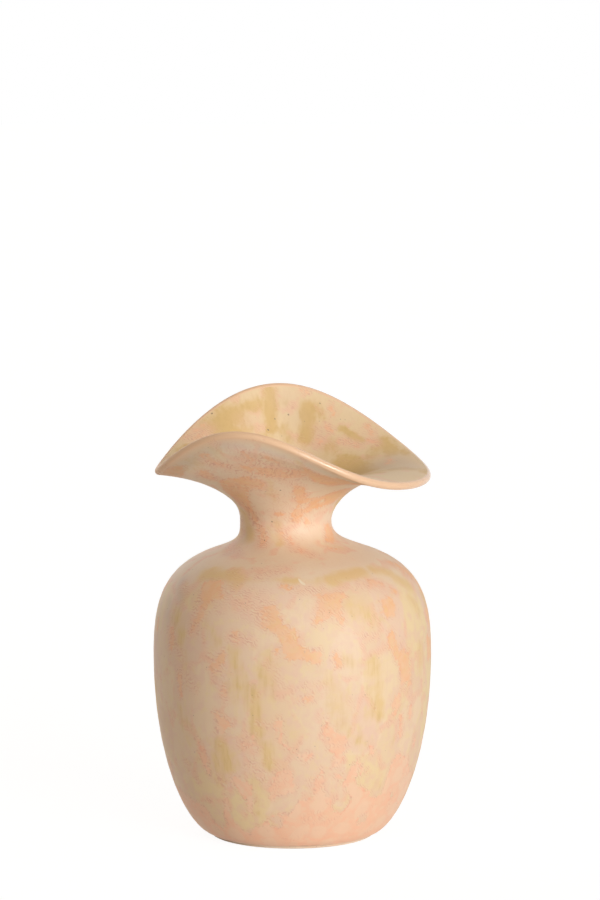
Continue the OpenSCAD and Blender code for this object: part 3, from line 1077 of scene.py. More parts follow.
@dataclass
class Brushwork:
    """The touches of stain on one coat of glaze, and the fields that they make on it.

    The reach is how far past an outline its patch is worked out, in degrees and
    levels.
    """

    form: VaseForm
    face: Face
    dabs: dict[Stain, list[Dab]] = field(default_factory=lambda: {s: [] for s in Stain})
    patches: list[Patch] = field(default_factory=list)
    cells: list[Dab] = field(default_factory=list)
    reach: Zone = (14.0, 0.15)
    corners: int = 11
    corner_reach: Zone = (0.35, 1.3)
    least_rise: float = 0.3
    least_strength: float = 0.5

    def spot(self, turn: float, level: float) -> Array:
        """Returns the place at degrees from the front and a level."""
        return self.form.ring(self.face, level)(np.array([FRONT + turn]))[0]

    def belly_spot(self, turn: float, height: float) -> Array:
        """Returns the place at degrees from the front and millimetres up the belly."""
        return self.spot(turn, self.form.level_at(height * MM))

    def touch(self, stain: Stain, table: Rows, spot: Callable[[float, float], Array]) -> None:
        """Adds touches of a stain.

        Args:
            stain: the stain.
            table: turn and level or height of both ends, radius in millimetres and strength.
            spot: finds the place of a turn and a level, or of a turn and a height.
        """
        for turn, up, end_turn, end_up, radius, *strength in table:
            start, end = spot(turn, up), spot(end_turn, end_up)
            self.dabs[stain].append(Dab(start, end, radius * MM, *strength))

    def patch(self, outline: Outline) -> None:
        """Adds a peach patch whose outline is given by turns and levels."""
        corners = np.array([self.spot(turn, level) for turn, level in outline])
        self.patches.append(Patch(np.array(outline), corners))

    def patch_belly(self, table: tuple[Outline, ...]) -> None:
        """Adds peach patches whose outlines are given by heights on the belly."""
        for outline in table:
            self.patch(tuple((turn, self.form.level_at(height * MM)) for turn, height in outline))

    def patch_mouth(self, table: tuple[Outline, ...]) -> None:
        """Adds peach patches whose outlines are given by levels of the profile."""
        for outline in table:
            self.patch(outline)

    def bite(self, place: Array, radius: float) -> None:
        """Adds one round pale cell that bites into the peach, of a radius in millimetres."""
        self.cells.append(Dab(place, place, radius * MM))

    def scatter(self, stain: Stain, draw: random.Random, count: int, spread: Spread) -> None:
        """Adds touches by chance where none was listed.

        Args:
            stain: the stain to add.
            draw: the seeded source of chance.
            count: how many touches to add.
            spread: where they may lie and how large they are.
        """
        for _ in range(count):
            turn = draw.uniform(spread.turn_from, spread.turn_to)
            level = draw.uniform(spread.level_from, spread.level_to)
            rise = draw.uniform(self.least_rise, 1.0) * spread.rise * draw.choice((-1.0, 1.0))
            sweep = draw.uniform(-spread.sweep, spread.sweep)
            radius = draw.uniform(spread.radius_from, spread.radius_to) * MM
            end_level = min(max(level + rise, spread.level_from), spread.level_to)
            start, end = self.spot(turn, level), self.spot(turn + sweep, end_level)
            strength = draw.uniform(self.least_strength, 1.0)
            self.dabs[stain].append(Dab(start, end, radius, strength))

    def scatter_patches(self, draw: random.Random, count: int, spread: Spread) -> None:
        """Adds ragged peach patches by chance where none was drawn.

        Args:
            draw: the seeded source of chance.
            count: how many patches to add.
            spread: where they may lie and how large they are.
        """
        for _ in range(count):
            turn = draw.uniform(spread.turn_from, spread.turn_to)
            level = draw.uniform(spread.level_from, spread.level_to)
            size = draw.uniform(spread.radius_from, spread.radius_to)
            outline = []
            for k in range(self.corners):
                way = size * draw.uniform(*self.corner_reach) * angled(FULL_TURN * k / self.corners)
                outline.append((turn + spread.sweep * way[0], level + spread.rise * way[1]))
            self.patch(tuple(outline))

    def inner_distance(self, spots: Array, points: Array, limit: float) -> Array:
        """Measures how far inside the peach points lie, in millimetres.

        Args:
            spots: rows of turn and level, one for each point.
            points: rows of x, y and z.
            limit: the furthest distance outside that is kept.

        Returns:
            One value for each point, below 0 outside the peach.
        """
        best = np.full(len(points), -limit)
        for patch in self.patches:
            near = patch.near(spots, self.reach)
            best[near] = np.maximum(best[near], patch.depths(spots[near], points[near]) / MM)
        for dab in self.dabs[Stain.PEACH]:
            best = np.maximum(best, (dab.radius - dab.distances(points)) / MM)
        return best

    def bitten(self, values: Array, points: Array) -> Array:
        """Lets the pale cells bite into the peach.

        Args:
            values: millimetres inside the peach, one for each point.
            points: rows of x, y and z.

        Returns:
            The values that are left.
        """
        for cell in self.cells:
            values = np.minimum(values, (cell.distances(points) - cell.radius) / MM)
        return values

    def glow(self, stain: Stain, points: Array) -> Array:
        """Works out how strongly a stain shows.

        Args:
            stain: the stain.
            points: rows of x, y and z.

        Returns:
            One value for each point, 0 away from the stain's touches.
        """
        best = np.zeros(len(points))
        for dab in self.dabs[stain]:
            share = dab.distances(points) / dab.radius
            best = np.maximum(best, dab.strength * np.exp(-share * share))
        return best


@dataclass(frozen=True)
class Mark:
    """One small mark, such as a pinhole, a pale nick, a painted glint or a painted shadow line, with
    its ends and its radius.

    Its rim and its core are shares of its size, and most is how strongly it shows.
    """

    start: Vector
    end: Vector
    radius: float
    pale: bool
    rim: float = 1.1
    core: float = 0.6
    most: float = 0.8


@dataclass(frozen=True)
class Cloud:
    """A noise that lets a tone through where it is high.

    It has a grain as a length, a detail, the two values that it rises between,
    the most of the tone that it lets through, and a twist.
    """

    grain: float
    detail: float
    low: float
    high: float
    most: float = 1.0
    twist: float = 0.0


@dataclass(frozen=True)
class Dots:
    """Round dots, one in each cell of a pattern.

    They have a spacing as a length, a rim and a core as shares of it, the most
    of a tone that they let through, and the two values that choose some cells.
    """

    spacing: float
    rim: float
    core: float
    most: float
    chosen: Zone | None = None


@dataclass(frozen=True)
class Relief:
    """A noise that raises the surface: its grain, its detail, its height and its strength."""

    grain: float
    detail: float
    reach: float
    strength: float


class NodeBench:
    """Lays the nodes of one material and joins them.

    The numbers are the detail of the noise that pushes coordinates about, and
    the places of the colour sockets of a Mix node.
    """

    push_detail = 2.0
    mix_share = 0
    mix_under = 6
    mix_over = 7
    mix_result = 2

    def __init__(self, name: str) -> None:
        """Starts a material with a shader and nothing else.

        Args:
            name: the material's name.
        """
        self.material = bpy.data.materials.new(name)
        self.material.use_nodes = True
        self.tree = self.material.node_tree
        self.tree.nodes.clear()
        self.shader = self.lay("ShaderNodeBsdfPrincipled")
        output = self.lay("ShaderNodeOutputMaterial")
        self.tree.links.new(self.shader.outputs[0], output.inputs["Surface"])

    def lay(self, kind: str, **settings: object) -> Node:
        """Lays a node.

        Args:
            kind: the node's type.
            settings: its options.

        Returns:
            The node.
        """
        node = self.tree.nodes.new(kind)
        for key, value in settings.items():
            setattr(node, key, value)
        return node

    def feed(self, node: Node, socket: str | int, value: Feed) -> None:
        """Joins an output to a node's input, or sets the input to a plain value.

        Args:
            node: the node.
            socket: the input's name or number.
            value: the output of another node, a colour, a vector or a number.
        """
        if isinstance(value, Socket):
            self.tree.links.new(value, node.inputs[socket])
        elif isinstance(value, tuple) and len(value) == 3 and node.inputs[socket].type == "RGBA":
            node.inputs[socket].default_value = (*value, 1.0)
        else:
            node.inputs[socket].default_value = value

    def sum(self, kind: str, a: Feed, b: Feed = 0.0, c: Feed = 0.0) -> Socket:
        """Lays a Math node.

        Args:
            kind: its operation, such as ADD.
            a: its first value.
            b: its second value.
            c: its third value.

        Returns:
            Its result.
        """
        node = self.lay("ShaderNodeMath", operation=kind)
        for i, value in enumerate((a, b, c)):
            self.feed(node, i, value)
        return node.outputs[0]

    def step(self, value: Socket, low: float, high: float) -> Socket:
        """Lays a smooth step.

        Args:
            value: the value that it follows.
            low: where it leaves 0.
            high: where it reaches 1, which may lie below low.

        Returns:
            The step, from 0 to 1.
        """
        node = self.lay("ShaderNodeMapRange", interpolation_type="SMOOTHSTEP")
        self.feed(node, "Value", value)
        self.feed(node, "From Min", low)
        self.feed(node, "From Max", high)
        return node.outputs[0]

    def field(self, stain: Stain) -> Socket:
        """Returns a stain's field, as the mesh holds it."""
        return self.lay("ShaderNodeAttribute", attribute_name=stain.value).outputs["Fac"]

    def places(self, stretch: Triple) -> Socket:
        """Lays the object's coordinates.

        Args:
            stretch: a factor on each axis.

        Returns:
            The coordinates, times that factor.
        """
        mapping = self.lay("ShaderNodeMapping")
        self.feed(mapping, "Vector", self.lay("ShaderNodeTexCoord").outputs["Object"])
        self.feed(mapping, "Scale", stretch)
        return mapping.outputs[0]

    def along(self, axis: str) -> Socket:
        """Lays the object's coordinate along one axis.

        Args:
            axis: X, Y or Z.

        Returns:
            The coordinate, as a length.
        """
        node = self.lay("ShaderNodeSeparateXYZ")
        self.feed(node, 0, self.lay("ShaderNodeTexCoord").outputs["Object"])
        return node.outputs[axis]

    def mark(self, mark: Mark, places: Socket) -> Socket:
        """Lays a small mark, which is an ellipsoid along its two ends.

        Args:
            mark: the mark.
            places: the coordinates that it lies in.

        Returns:
            1 inside the mark and 0 outside.
        """
        along = mark.end - mark.start
        node = self.lay("ShaderNodeMapping", vector_type="TEXTURE")
        self.feed(node, "Vector", places)
        self.feed(node, "Location", tuple(0.5 * (mark.start + mark.end)))
        self.feed(node, "Rotation", tuple(along.to_track_quat("X", "Z").to_euler()))
        self.feed(node, "Scale", (0.5 * along.length + mark.radius, mark.radius, mark.radius))
        size = self.lay("ShaderNodeVectorMath", operation="LENGTH")
        self.feed(size, 0, node.outputs[0])
        return self.step(size.outputs["Value"], mark.rim, mark.core)

    def noise(self, places: Socket, grain: float, detail: float, twist: float = 0.0) -> Node:
        """Lays a noise.

        Args:
            places: the coordinates that it follows.
            grain: its grain, as a length.
            detail: how many finer noises it holds.
            twist: how far it is distorted.

        Returns:
            The node.
        """
        node = self.lay("ShaderNodeTexNoise")
        self.feed(node, "Vector", places)
        self.feed(node, "Scale", 1.0 / grain)
        self.feed(node, "Detail", detail)
        self.feed(node, "Distortion", twist)
        return node

    def cloud(self, places: Socket, cloud: Cloud) -> Socket:
        """Lays a cloud.

        Args:
            places: the coordinates that it follows.
            cloud: the cloud.

        Returns:
            The share of a tone that it lets through.
        """
        noise = self.noise(places, cloud.grain, cloud.detail, cloud.twist)
        share = self.step(noise.outputs["Fac"], cloud.low, cloud.high)
        return share if cloud.most == 1.0 else self.sum("MULTIPLY", share, cloud.most)

    def cells(self, places: Socket, grain: float, feature: str = "F1") -> Node:
        """Lays a pattern of cells.

        Args:
            places: the coordinates that it follows.
            grain: the spacing of the cells, as a length.
            feature: what the pattern measures.

        Returns:
            The node.
        """
        node = self.lay("ShaderNodeTexVoronoi", feature=feature)
        self.feed(node, "Vector", places)
        self.feed(node, "Scale", 1.0 / grain)
        return node

    def dots(self, places: Socket, dots: Dots) -> tuple[Socket, Socket]:
        """Lays dots.

        Args:
            places: the coordinates that they follow.
            dots: the dots.

        Returns:
            1 inside every dot, and the share of a tone that the chosen ones let through.
        """
        cells = self.cells(places, dots.spacing)
        dot = share = self.step(cells.outputs["Distance"], dots.rim, dots.core)
        if dots.chosen:
            share = self.sum("MULTIPLY", dot, self.step(cells.outputs["Color"], *dots.chosen))
        return dot, self.sum("MULTIPLY", share, dots.most)

    def warp(self, places: Socket, grain: float, reach: float) -> Socket:
        """Pushes coordinates about by a noise.

        Args:
            places: the coordinates.
            grain: the grain of the noise, as a length.
            reach: how far it pushes them at most, as a length.

        Returns:
            The pushed coordinates.
        """
        push = self.lay("ShaderNodeVectorMath", operation="SUBTRACT")
        self.feed(push, 0, self.noise(places, grain, self.push_detail).outputs["Color"])
        self.feed(push, 1, (0.5, 0.5, 0.5))
        scaled = self.lay("ShaderNodeVectorMath", operation="MULTIPLY_ADD")
        self.feed(scaled, 0, push.outputs[0])
        self.feed(scaled, 1, (2.0 * reach,) * 3)
        self.feed(scaled, 2, places)
        return scaled.outputs[0]

    def blend(self, share: Feed, under: Feed, over: Feed, most: float = 1.0) -> Socket:
        """Lays one colour over another.

        Args:
            share: how much of the upper colour shows, from 0 to 1.
            under: the lower colour.
            over: the upper colour.
            most: a factor on the share.

        Returns:
            The mixed colour.
        """
        node = self.lay("ShaderNodeMix", data_type="RGBA")
        if most != 1.0:
            share = self.sum("MULTIPLY", share, most)
        self.feed(node, self.mix_share, share)
        self.feed(node, self.mix_under, under)
        self.feed(node, self.mix_over, over)
        return node.outputs[self.mix_result]

    def bump(
        self, height: Socket, reach: float, strength: float, under: Socket | None = None
    ) -> Socket:
        """Bends the normals by a height field.

        Args:
            height: the field, from 0 to 1.
            reach: the height of 1, as a length.
            strength: the share of the bend that is kept.
            under: normals that are bent already.

        Returns:
            The bent normals.
        """
        node = self.lay("ShaderNodeBump")
        self.feed(node, "Height", height)
        self.feed(node, "Distance", reach)
        self.feed(node, "Strength", strength)
        if under is not None:
            self.feed(node, "Normal", under)
        return node.outputs[0]

    def relief(self, places: Socket, relief: Relief, under: Socket | None = None) -> Socket:
        """Bends the normals by a relief.

        Args:
            places: the coordinates that it follows.
            relief: the relief.
            under: normals that are bent already.

        Returns:
            The bent normals.
        """
        noise = self.noise(places, relief.grain, relief.detail)
        return self.bump(noise.outputs["Fac"], relief.reach, relief.strength, under)


def marks(form: VaseForm, face: Face, table: Rows) -> tuple[Mark, ...]:
    """Places the marks of a table on a face.

    Args:
        form: the vase's form.
        face: the face that they lie on.
        table: rows of turn and level of both ends, radius in millimetres and paleness.

    Returns:
        The marks, in the table's order.
    """
    work = Brushwork(form, face)
    return tuple(
        Mark(Vector(work.spot(turn, level)), Vector(work.spot(end_turn, end_level)), radius * MM, pale)
        for turn, level, end_turn, end_level, radius, pale in table
    )


@dataclass(frozen=True)
class MottledGlaze:
    """Glossy glaze whose cream ground breaks into peach, olive and fine crackle.

    A zone is a pair of values between which something comes in: heights for the
    rise, neck and steep zones, the distance to the right for the gloss, and
    millimetres inside the edge of the peach for the others. A name that ends in
    most is the largest share of its tone, and one that ends in stretch is a
    factor on each axis of the pattern.
    """

    name: str
    cream: Colour = (0.91, 0.70, 0.49)
    cream_yellow: Colour = (0.89, 0.70, 0.40)
    cream_dull: Colour = (0.84, 0.62, 0.45)
    peach: Colour = (0.92, 0.54, 0.29)
    peach_low: Colour = (0.95, 0.58, 0.39)
    peach_pale: Colour = (0.94, 0.67, 0.48)
    peach_deep: Colour = (0.93, 0.43, 0.26)
    olive: Colour = (0.84, 0.60, 0.28)
    olive_deep: Colour = (0.70, 0.47, 0.19)
    mauve: Colour = (0.72, 0.56, 0.48)
    fleck: Colour = (0.70, 0.36, 0.25)
    blush: Colour = (0.90, 0.55, 0.38)
    pale: Colour = (0.90, 0.745, 0.565)
    rose: Colour = (0.86, 0.58, 0.46)
    amber: Colour = (0.90, 0.60, 0.31)
    # Dark marks: pinholes, and a dark seam with its painted shadow line. Pale marks: a nick and
    # flecks, and a painted glint under the lip
    pit_and_seam_shadow: Colour = (0.30, 0.18, 0.12)
    nick_and_glint: Colour = (0.96, 0.84, 0.66)
    lip: Colour = (0.93, 0.61, 0.38)
    roughness: float = 0.56
    lip_roughness: float = 0.08
    refraction: float = 1.58
    gloss_zone: Zone = (-10.0 * MM, 12.0 * MM)
    rise_zone: Zone = (45.0 * MM, 120.0 * MM)
    marks: tuple[Mark, ...] = ()

    round_cell: float = 21.0 * MM
    cell_stretch: Triple = (1.0, 1.0, 0.7)
    cell_warp: Zone = (12.0 * MM, 3.5 * MM)
    cell_blur: float = 0.22
    cell_zone: Zone = (0.42, 0.80)
    cell_mosts: Triple = (0.80, 0.45, 0.35)
    seam_zone: Zone = (0.15, 0.0)
    seam_breaks: Cloud = Cloud(11.0 * MM, 2.0, 0.48, 0.62)
    seam_most: float = 0.60
    rose_clouds: Cloud = Cloud(7.0 * MM, 4.0, 0.46, 0.66, 0.46)
    yellow_clouds: Cloud = Cloud(4.0 * MM, 4.0, 0.50, 0.68, 0.45)
    # The neck zone pales the cream: partly the glaze's own tone, partly painted light on the
    # upward-facing top of the shoulder
    neck_zone: Zone = (134.0 * MM, 152.0 * MM)
    neck_most: float = 0.75
    run_stretch: Triple = (1.0, 1.0, 0.06)
    runs: Cloud = Cloud(1.3 * MM, 2.0, 0.45, 0.70, 0.22)
    mauve_most: float = 0.45

    steep_zones: tuple[Zone, Zone] = ((138.0 * MM, 126.0 * MM), (164.0 * MM, 178.0 * MM))
    streak_stretch: Triple = (1.0, 1.0, 0.15)
    streak_grain: float = 2.2 * MM
    streak_detail: float = 2.0
    streak_share: float = 0.40
    streak_zone: Zone = (0.44, 0.70)
    streak_most: float = 0.40
    smear_grain: float = 8.0 * MM
    smear_detail: float = 3.0
    smear_loss: float = 0.70
    olive_zone: Zone = (0.05, 0.85)
    olive_reach: Zone = (0.02, 0.35)
    olive_most: float = 0.85

    edge_cell: float = 13.0 * MM
    edge_warp: Zone = (9.0 * MM, 1.6 * MM)
    scallop: Zone = (2.2, -0.8)
    ragged_grain: float = 2.0 * MM
    ragged_detail: float = 5.0
    ragged: float = 6.0
    dapple_sway: Zone = (7.0 * MM, 2.5 * MM)
    dapple_jitter: Zone = (1.6 * MM, 0.8 * MM)
    fine_dapple: Dots = Dots(4.2 * MM, 0.50, 0.22, 0.55)
    wide_dapple: Dots = Dots(11.0 * MM, 0.58, 0.34, 0.80)
    dapple_loss: float = 0.85
    peach_clouds: Cloud = Cloud(6.0 * MM, 3.0, 0.40, 0.64, 0.35)
    amber_clouds: Cloud = Cloud(5.0 * MM, 3.0, 0.46, 0.62, 0.55, 0.4)
    rim_zone: Zone = (1.5, 0.5)
    rim_breaks: Cloud = Cloud(5.0 * MM, 1.0, 0.50, 0.66, 0.55)
    veil: Cloud = Cloud(4.0 * MM, 3.0, 0.38, 0.60, 0.24)
    veil_least: float = 0.74
    fill_zone: Zone = (-0.9, 0.9)
    halo_zone: Zone = (-4.0, 0.5)
    halo_most: float = 0.34

    fleck_blush: float = 0.50
    hairs: tuple[tuple[str, float], ...] = (
        ("Scale", 0.27 / MM),
        ("Distortion", 10.0),
        ("Detail", 2.0),
        ("Detail Scale", 1.2),
    )
    hair_breaks: Cloud = Cloud(2.4 * MM, 2.0, 0.40, 0.56)
    fringe_zones: tuple[Zone, Zone] = ((-3.0, -0.6), (1.2, 0.2))
    fringe_most: float = 0.65
    seam_hairs: float = 0.50
    # The light lines of the crackle: pale glaze, with painted highlights on the raised wrinkles
    light_zone: Zone = (0.36, 0.06)
    light_most: float = 0.48
    dark_zone: Zone = (0.62, 0.95)
    dark_most: float = 0.58
    pinholes: Dots = Dots(4.0 * MM, 0.095, 0.045, 0.5, (0.68, 0.72))

    ripple: Relief = Relief(16.0 * MM, 1.0, 0.35 * MM, 0.6)
    skin: Relief = Relief(1.4 * MM, 2.0, 0.03 * MM, 0.5)
    edge_zone: Zone = (-0.4, 0.4)
    edge_height: float = 0.05 * MM
    edge_strength: float = 0.5
    taper: float = 5.0 * MM

    def make(self) -> bpy.types.Material:
        """Builds the material.

        Returns:
            The material, whose patterns follow the object's coordinates and fields.
        """
        bench = NodeBench(self.name)
        plain = bench.places((1.0, 1.0, 1.0))
        rise = bench.step(bench.along("Z"), *self.rise_zone)
        round_cells = bench.warp(bench.places(self.cell_stretch), *self.cell_warp)
        seam = self.cell_seams(bench, round_cells, plain)
        colour = self.ground(bench, round_cells, plain)
        colour = bench.blend(seam, colour, self.blush, self.seam_most)
        colour = self.olive_streaks(bench, colour, plain)
        colour = bench.blend(bench.field(Stain.MAUVE), colour, self.mauve, self.mauve_most)
        edge = self.peach_edge(bench, plain)
        colour = self.peach_patches(bench, colour, edge, plain, rise)
        lip = bench.step(bench.field(Stain.LIP), 0.0, 1.0)
        colour = bench.blend(lip, colour, self.lip)
        colour = self.crackle(bench, colour, edge, seam, plain)
        colour = bench.blend(bench.dots(plain, self.pinholes)[1], colour, self.pit_and_seam_shadow)
        # Small marks, among them a painted shadow line at the glaze's foot and a painted glint under
        # the lip
        for mark in self.marks:
            tone = self.nick_and_glint if mark.pale else self.pit_and_seam_shadow
            colour = bench.blend(bench.mark(mark, plain), colour, tone, mark.most)
        gain = self.lip_roughness - self.roughness
        gloss = bench.sum("MULTIPLY", lip, bench.step(bench.along("X"), *self.gloss_zone))
        bench.feed(bench.shader, "Base Color", colour)
        bench.feed(bench.shader, "Roughness", bench.sum("MULTIPLY_ADD", gloss, gain, self.roughness))
        bench.feed(bench.shader, "IOR", self.refraction)
        bench.feed(bench.shader, "Normal", self.surface(bench, edge, plain))
        return bench.material

    def cell_seams(self, bench: NodeBench, round_cells: Socket, plain: Socket) -> Socket:
        """Finds the broken seams between the round cells of the ground.

        Args:
            bench: the material's nodes.
            round_cells: the coordinates of the cells.
            plain: the object's coordinates.

        Returns:
            1 on the seams and 0 elsewhere.
        """
        gap = bench.cells(round_cells, self.round_cell, "DISTANCE_TO_EDGE").outputs["Distance"]
        breaks = bench.cloud(plain, self.seam_breaks)
        return bench.sum("MULTIPLY", bench.step(gap, *self.seam_zone), breaks)

    def ground(self, bench: NodeBench, round_cells: Socket, plain: Socket) -> Socket:
        """Mixes the cream ground, clouded in soft round cells of rosier and yellower cream.

        Args:
            bench: the material's nodes.
            round_cells: the coordinates of the cells.
            plain: the object's coordinates.

        Returns:
            The colour.
        """
        cells = bench.cells(round_cells, self.round_cell, "SMOOTH_F1")
        bench.feed(cells, "Smoothness", self.cell_blur)
        tints = bench.lay("ShaderNodeSeparateColor")
        bench.feed(tints, 0, cells.outputs["Color"])
        colour = self.cream
        tones = (self.cream_yellow, self.rose, self.cream_dull)
        for channel, (tone, most) in enumerate(zip(tones, self.cell_mosts)):
            share = bench.step(tints.outputs[channel], *self.cell_zone)
            colour = bench.blend(share, colour, tone, most)
        colour = bench.blend(bench.cloud(plain, self.rose_clouds), colour, self.rose)
        colour = bench.blend(bench.cloud(plain, self.yellow_clouds), colour, self.cream_yellow)
        # Paler cream up the shoulder to the neck: partly the glaze's own paler tone, partly painted
        # light where the shoulder's top faces up
        neck = bench.step(bench.along("Z"), *self.neck_zone)
        colour = bench.blend(neck, colour, self.pale, self.neck_most)
        runs = bench.cloud(bench.places(self.run_stretch), self.runs)
        return bench.blend(runs, colour, self.cream_dull)

    def olive_streaks(self, bench: NodeBench, colour: Feed, plain: Socket) -> Socket:
        """Lays soft olive smears on the colour, drawn out upright where the wall is steep.

        Args:
            bench: the material's nodes.
            colour: the colour under them.
            plain: the object's coordinates.

        Returns:
            The colour with the smears.
        """
        height = bench.along("Z")
        steep = bench.sum("MAXIMUM", *(bench.step(height, *zone) for zone in self.steep_zones))
        upright = bench.places(self.streak_stretch)
        fine = bench.noise(upright, self.streak_grain, self.streak_detail).outputs["Fac"]
        fine = bench.sum("MULTIPLY_ADD", bench.sum("SUBTRACT", fine, 0.5), steep, 0.5)
        broad = bench.noise(plain, self.smear_grain, self.smear_detail).outputs["Fac"]
        broad = bench.sum("SUBTRACT", broad, self.smear_loss)
        grain = bench.sum("MULTIPLY_ADD", fine, self.streak_share, broad)
        touched = bench.field(Stain.OLIVE)
        share = bench.step(bench.sum("ADD", touched, grain), *self.olive_zone)
        share = bench.sum("MULTIPLY", share, bench.step(touched, *self.olive_reach))
        colour = bench.blend(share, colour, self.olive, self.olive_most)
        share = bench.sum("MULTIPLY", share, bench.step(fine, *self.streak_zone))
        return bench.blend(share, colour, self.olive_deep, self.streak_most)

    def peach_edge(self, bench: NodeBench, plain: Socket) -> Socket:
        """Scallops and frays the edge of the peach.

        Args:
            bench: the material's nodes.
            plain: the object's coordinates.

        Returns:
            Millimetres inside the edge, below 0 outside.
        """
        near = bench.cells(bench.warp(plain, *self.edge_warp), self.edge_cell).outputs["Distance"]
        scallops = bench.sum("MULTIPLY_ADD", near, *self.scallop)
        value = bench.sum("ADD", bench.field(Stain.PEACH), scallops)
        frayed = bench.noise(plain, self.ragged_grain, self.ragged_detail).outputs["Fac"]
        frayed = bench.sum("MULTIPLY_ADD", frayed, self.ragged, -0.5 * self.ragged)
        return bench.sum("ADD", value, frayed)

    def peach_patches(
        self, bench: NodeBench, colour: Feed, edge: Socket, plain: Socket, rise: Socket
    ) -> Socket:
        """Lays peach patches on the colour, dappled low down and redder on parts of their edges.

        Args:
            bench: the material's nodes.
            colour: the colour under them.
            edge: millimetres inside their edge.
            plain: the object's coordinates.
            rise: 0 low down and 1 high up.

        Returns:
            The colour with the patches.
        """
        peach = bench.blend(rise, self.peach_low, self.peach)
        spots = bench.warp(bench.warp(plain, *self.dapple_sway), *self.dapple_jitter)
        dapples = [bench.dots(spots, dots)[1] for dots in (self.fine_dapple, self.wide_dapple)]
        low = bench.sum("MULTIPLY_ADD", rise, -self.dapple_loss, 1.0)
        dapple = bench.sum("MULTIPLY", bench.sum("MAXIMUM", *dapples), low)
        light = bench.sum("MAXIMUM", dapple, bench.cloud(plain, self.peach_clouds))
        peach = bench.blend(light, peach, self.peach_pale)
        glow = bench.sum("MULTIPLY", bench.cloud(plain, self.amber_clouds), rise)
        peach = bench.blend(glow, peach, self.amber)
        breaks = bench.cloud(plain, self.rim_breaks)
        line = bench.sum("MULTIPLY", bench.step(edge, *self.rim_zone), breaks)
        peach = bench.blend(line, peach, self.peach_deep)
        veil = bench.sum("ADD", bench.cloud(plain, self.veil), self.veil_least)
        inside = bench.sum("MULTIPLY", bench.step(edge, *self.fill_zone), veil)
        halo = bench.step(edge, *self.halo_zone)
        return bench.blend(inside, bench.blend(halo, colour, self.blush, self.halo_most), peach)

    def crackle(
        self, bench: NodeBench, colour: Feed, edge: Socket, seam: Socket, plain: Socket
    ) -> Socket:
        """Blushes and finely wrinkles the colour near edges and where it was touched in.

        Args:
            bench: the material's nodes.
            colour: the colour under the wrinkles.
            edge: millimetres inside the edge of the peach.
            seam: 1 on the seams of the ground.
            plain: the object's coordinates.

        Returns:
            The colour with the wrinkles.
        """
        touched = bench.field(Stain.FLECK)
        colour = bench.blend(touched, colour, self.blush, self.fleck_blush)
        hairs = bench.lay("ShaderNodeTexWave", bands_direction="DIAGONAL")
        bench.feed(hairs, "Vector", plain)
        for socket, value in self.hairs:
            bench.feed(hairs, socket, value)
        fringe = bench.sum("MULTIPLY", *(bench.step(edge, *zone) for zone in self.fringe_zones))
        where = bench.sum("MAXIMUM", bench.sum("MULTIPLY", fringe, self.fringe_most), touched)
        where = bench.sum("MAXIMUM", where, bench.sum("MULTIPLY", seam, self.seam_hairs))
        where = bench.sum("MULTIPLY", where, bench.cloud(plain, self.hair_breaks))
        # Light lines: pale wrinkles that also carry painted highlights on their raised crests
        light = bench.sum("MULTIPLY", bench.step(hairs.outputs["Fac"], *self.light_zone), where)
        colour = bench.blend(light, colour, self.pale, self.light_most)
        dark = bench.sum("MULTIPLY", bench.step(hairs.outputs["Fac"], *self.dark_zone), where)
        return bench.blend(dark, colour, self.fleck, self.dark_most)

    def surface(self, bench: NodeBench, edge: Socket, plain: Socket) -> Socket:
        """Shapes the glaze's slow ripple, its fine skin, its raised patches and its round lip.

        Args:
            bench: the material's nodes.
            edge: millimetres inside the edge of the peach.
            plain: the object's coordinates.

        Returns:
            The bent normals.
        """
        skin = bench.relief(plain, self.skin, bench.relief(plain, self.ripple))
        patches = bench.step(edge, *self.edge_zone)
        raised = bench.bump(patches, self.edge_height, self.edge_strength, skin)
        return bench.bump(bench.step(bench.field(Stain.TAPER), 1.0, 0.0), self.taper, 1.0, raised)


@dataclass(frozen=True)
class BareClay:
    """Fired clay with fine sand in it and the marks of turning."""

    name: str
    pale: Colour = (0.90, 0.74, 0.58)
    dark: Colour = (0.84, 0.64, 0.46)
    sand: Colour = (0.42, 0.26, 0.17)
    roughness: float = 0.75
    clouds: Cloud = Cloud(18.0 * MM, 4.0, 0.35, 0.7)
    grains: Dots = Dots(1.1 * MM, 0.28, 0.12, 0.6, (0.66, 0.7))
    skin: Relief = Relief(0.5 * MM, 3.0, 0.08 * MM, 0.7)
    grain_height: float = 0.06 * MM
    grain_strength: float = 0.5

    def make(self) -> bpy.types.Material:
        """Builds the material.

        Returns:
            The material, whose grain follows the object's coordinates.
        """
        bench = NodeBench(self.name)
        plain = bench.places((1.0, 1.0, 1.0))
        colour = bench.blend(bench.cloud(plain, self.clouds), self.pale, self.dark)
        grains, sandy = bench.dots(plain, self.grains)
        bench.feed(bench.shader, "Base Color", bench.blend(sandy, colour, self.sand))
        bench.feed(bench.shader, "Roughness", self.roughness)
        skin = bench.relief(plain, self.skin)
        rough = bench.bump(grains, self.grain_height, self.grain_strength, skin)
        bench.feed(bench.shader, "Normal", rough)
        return bench.material


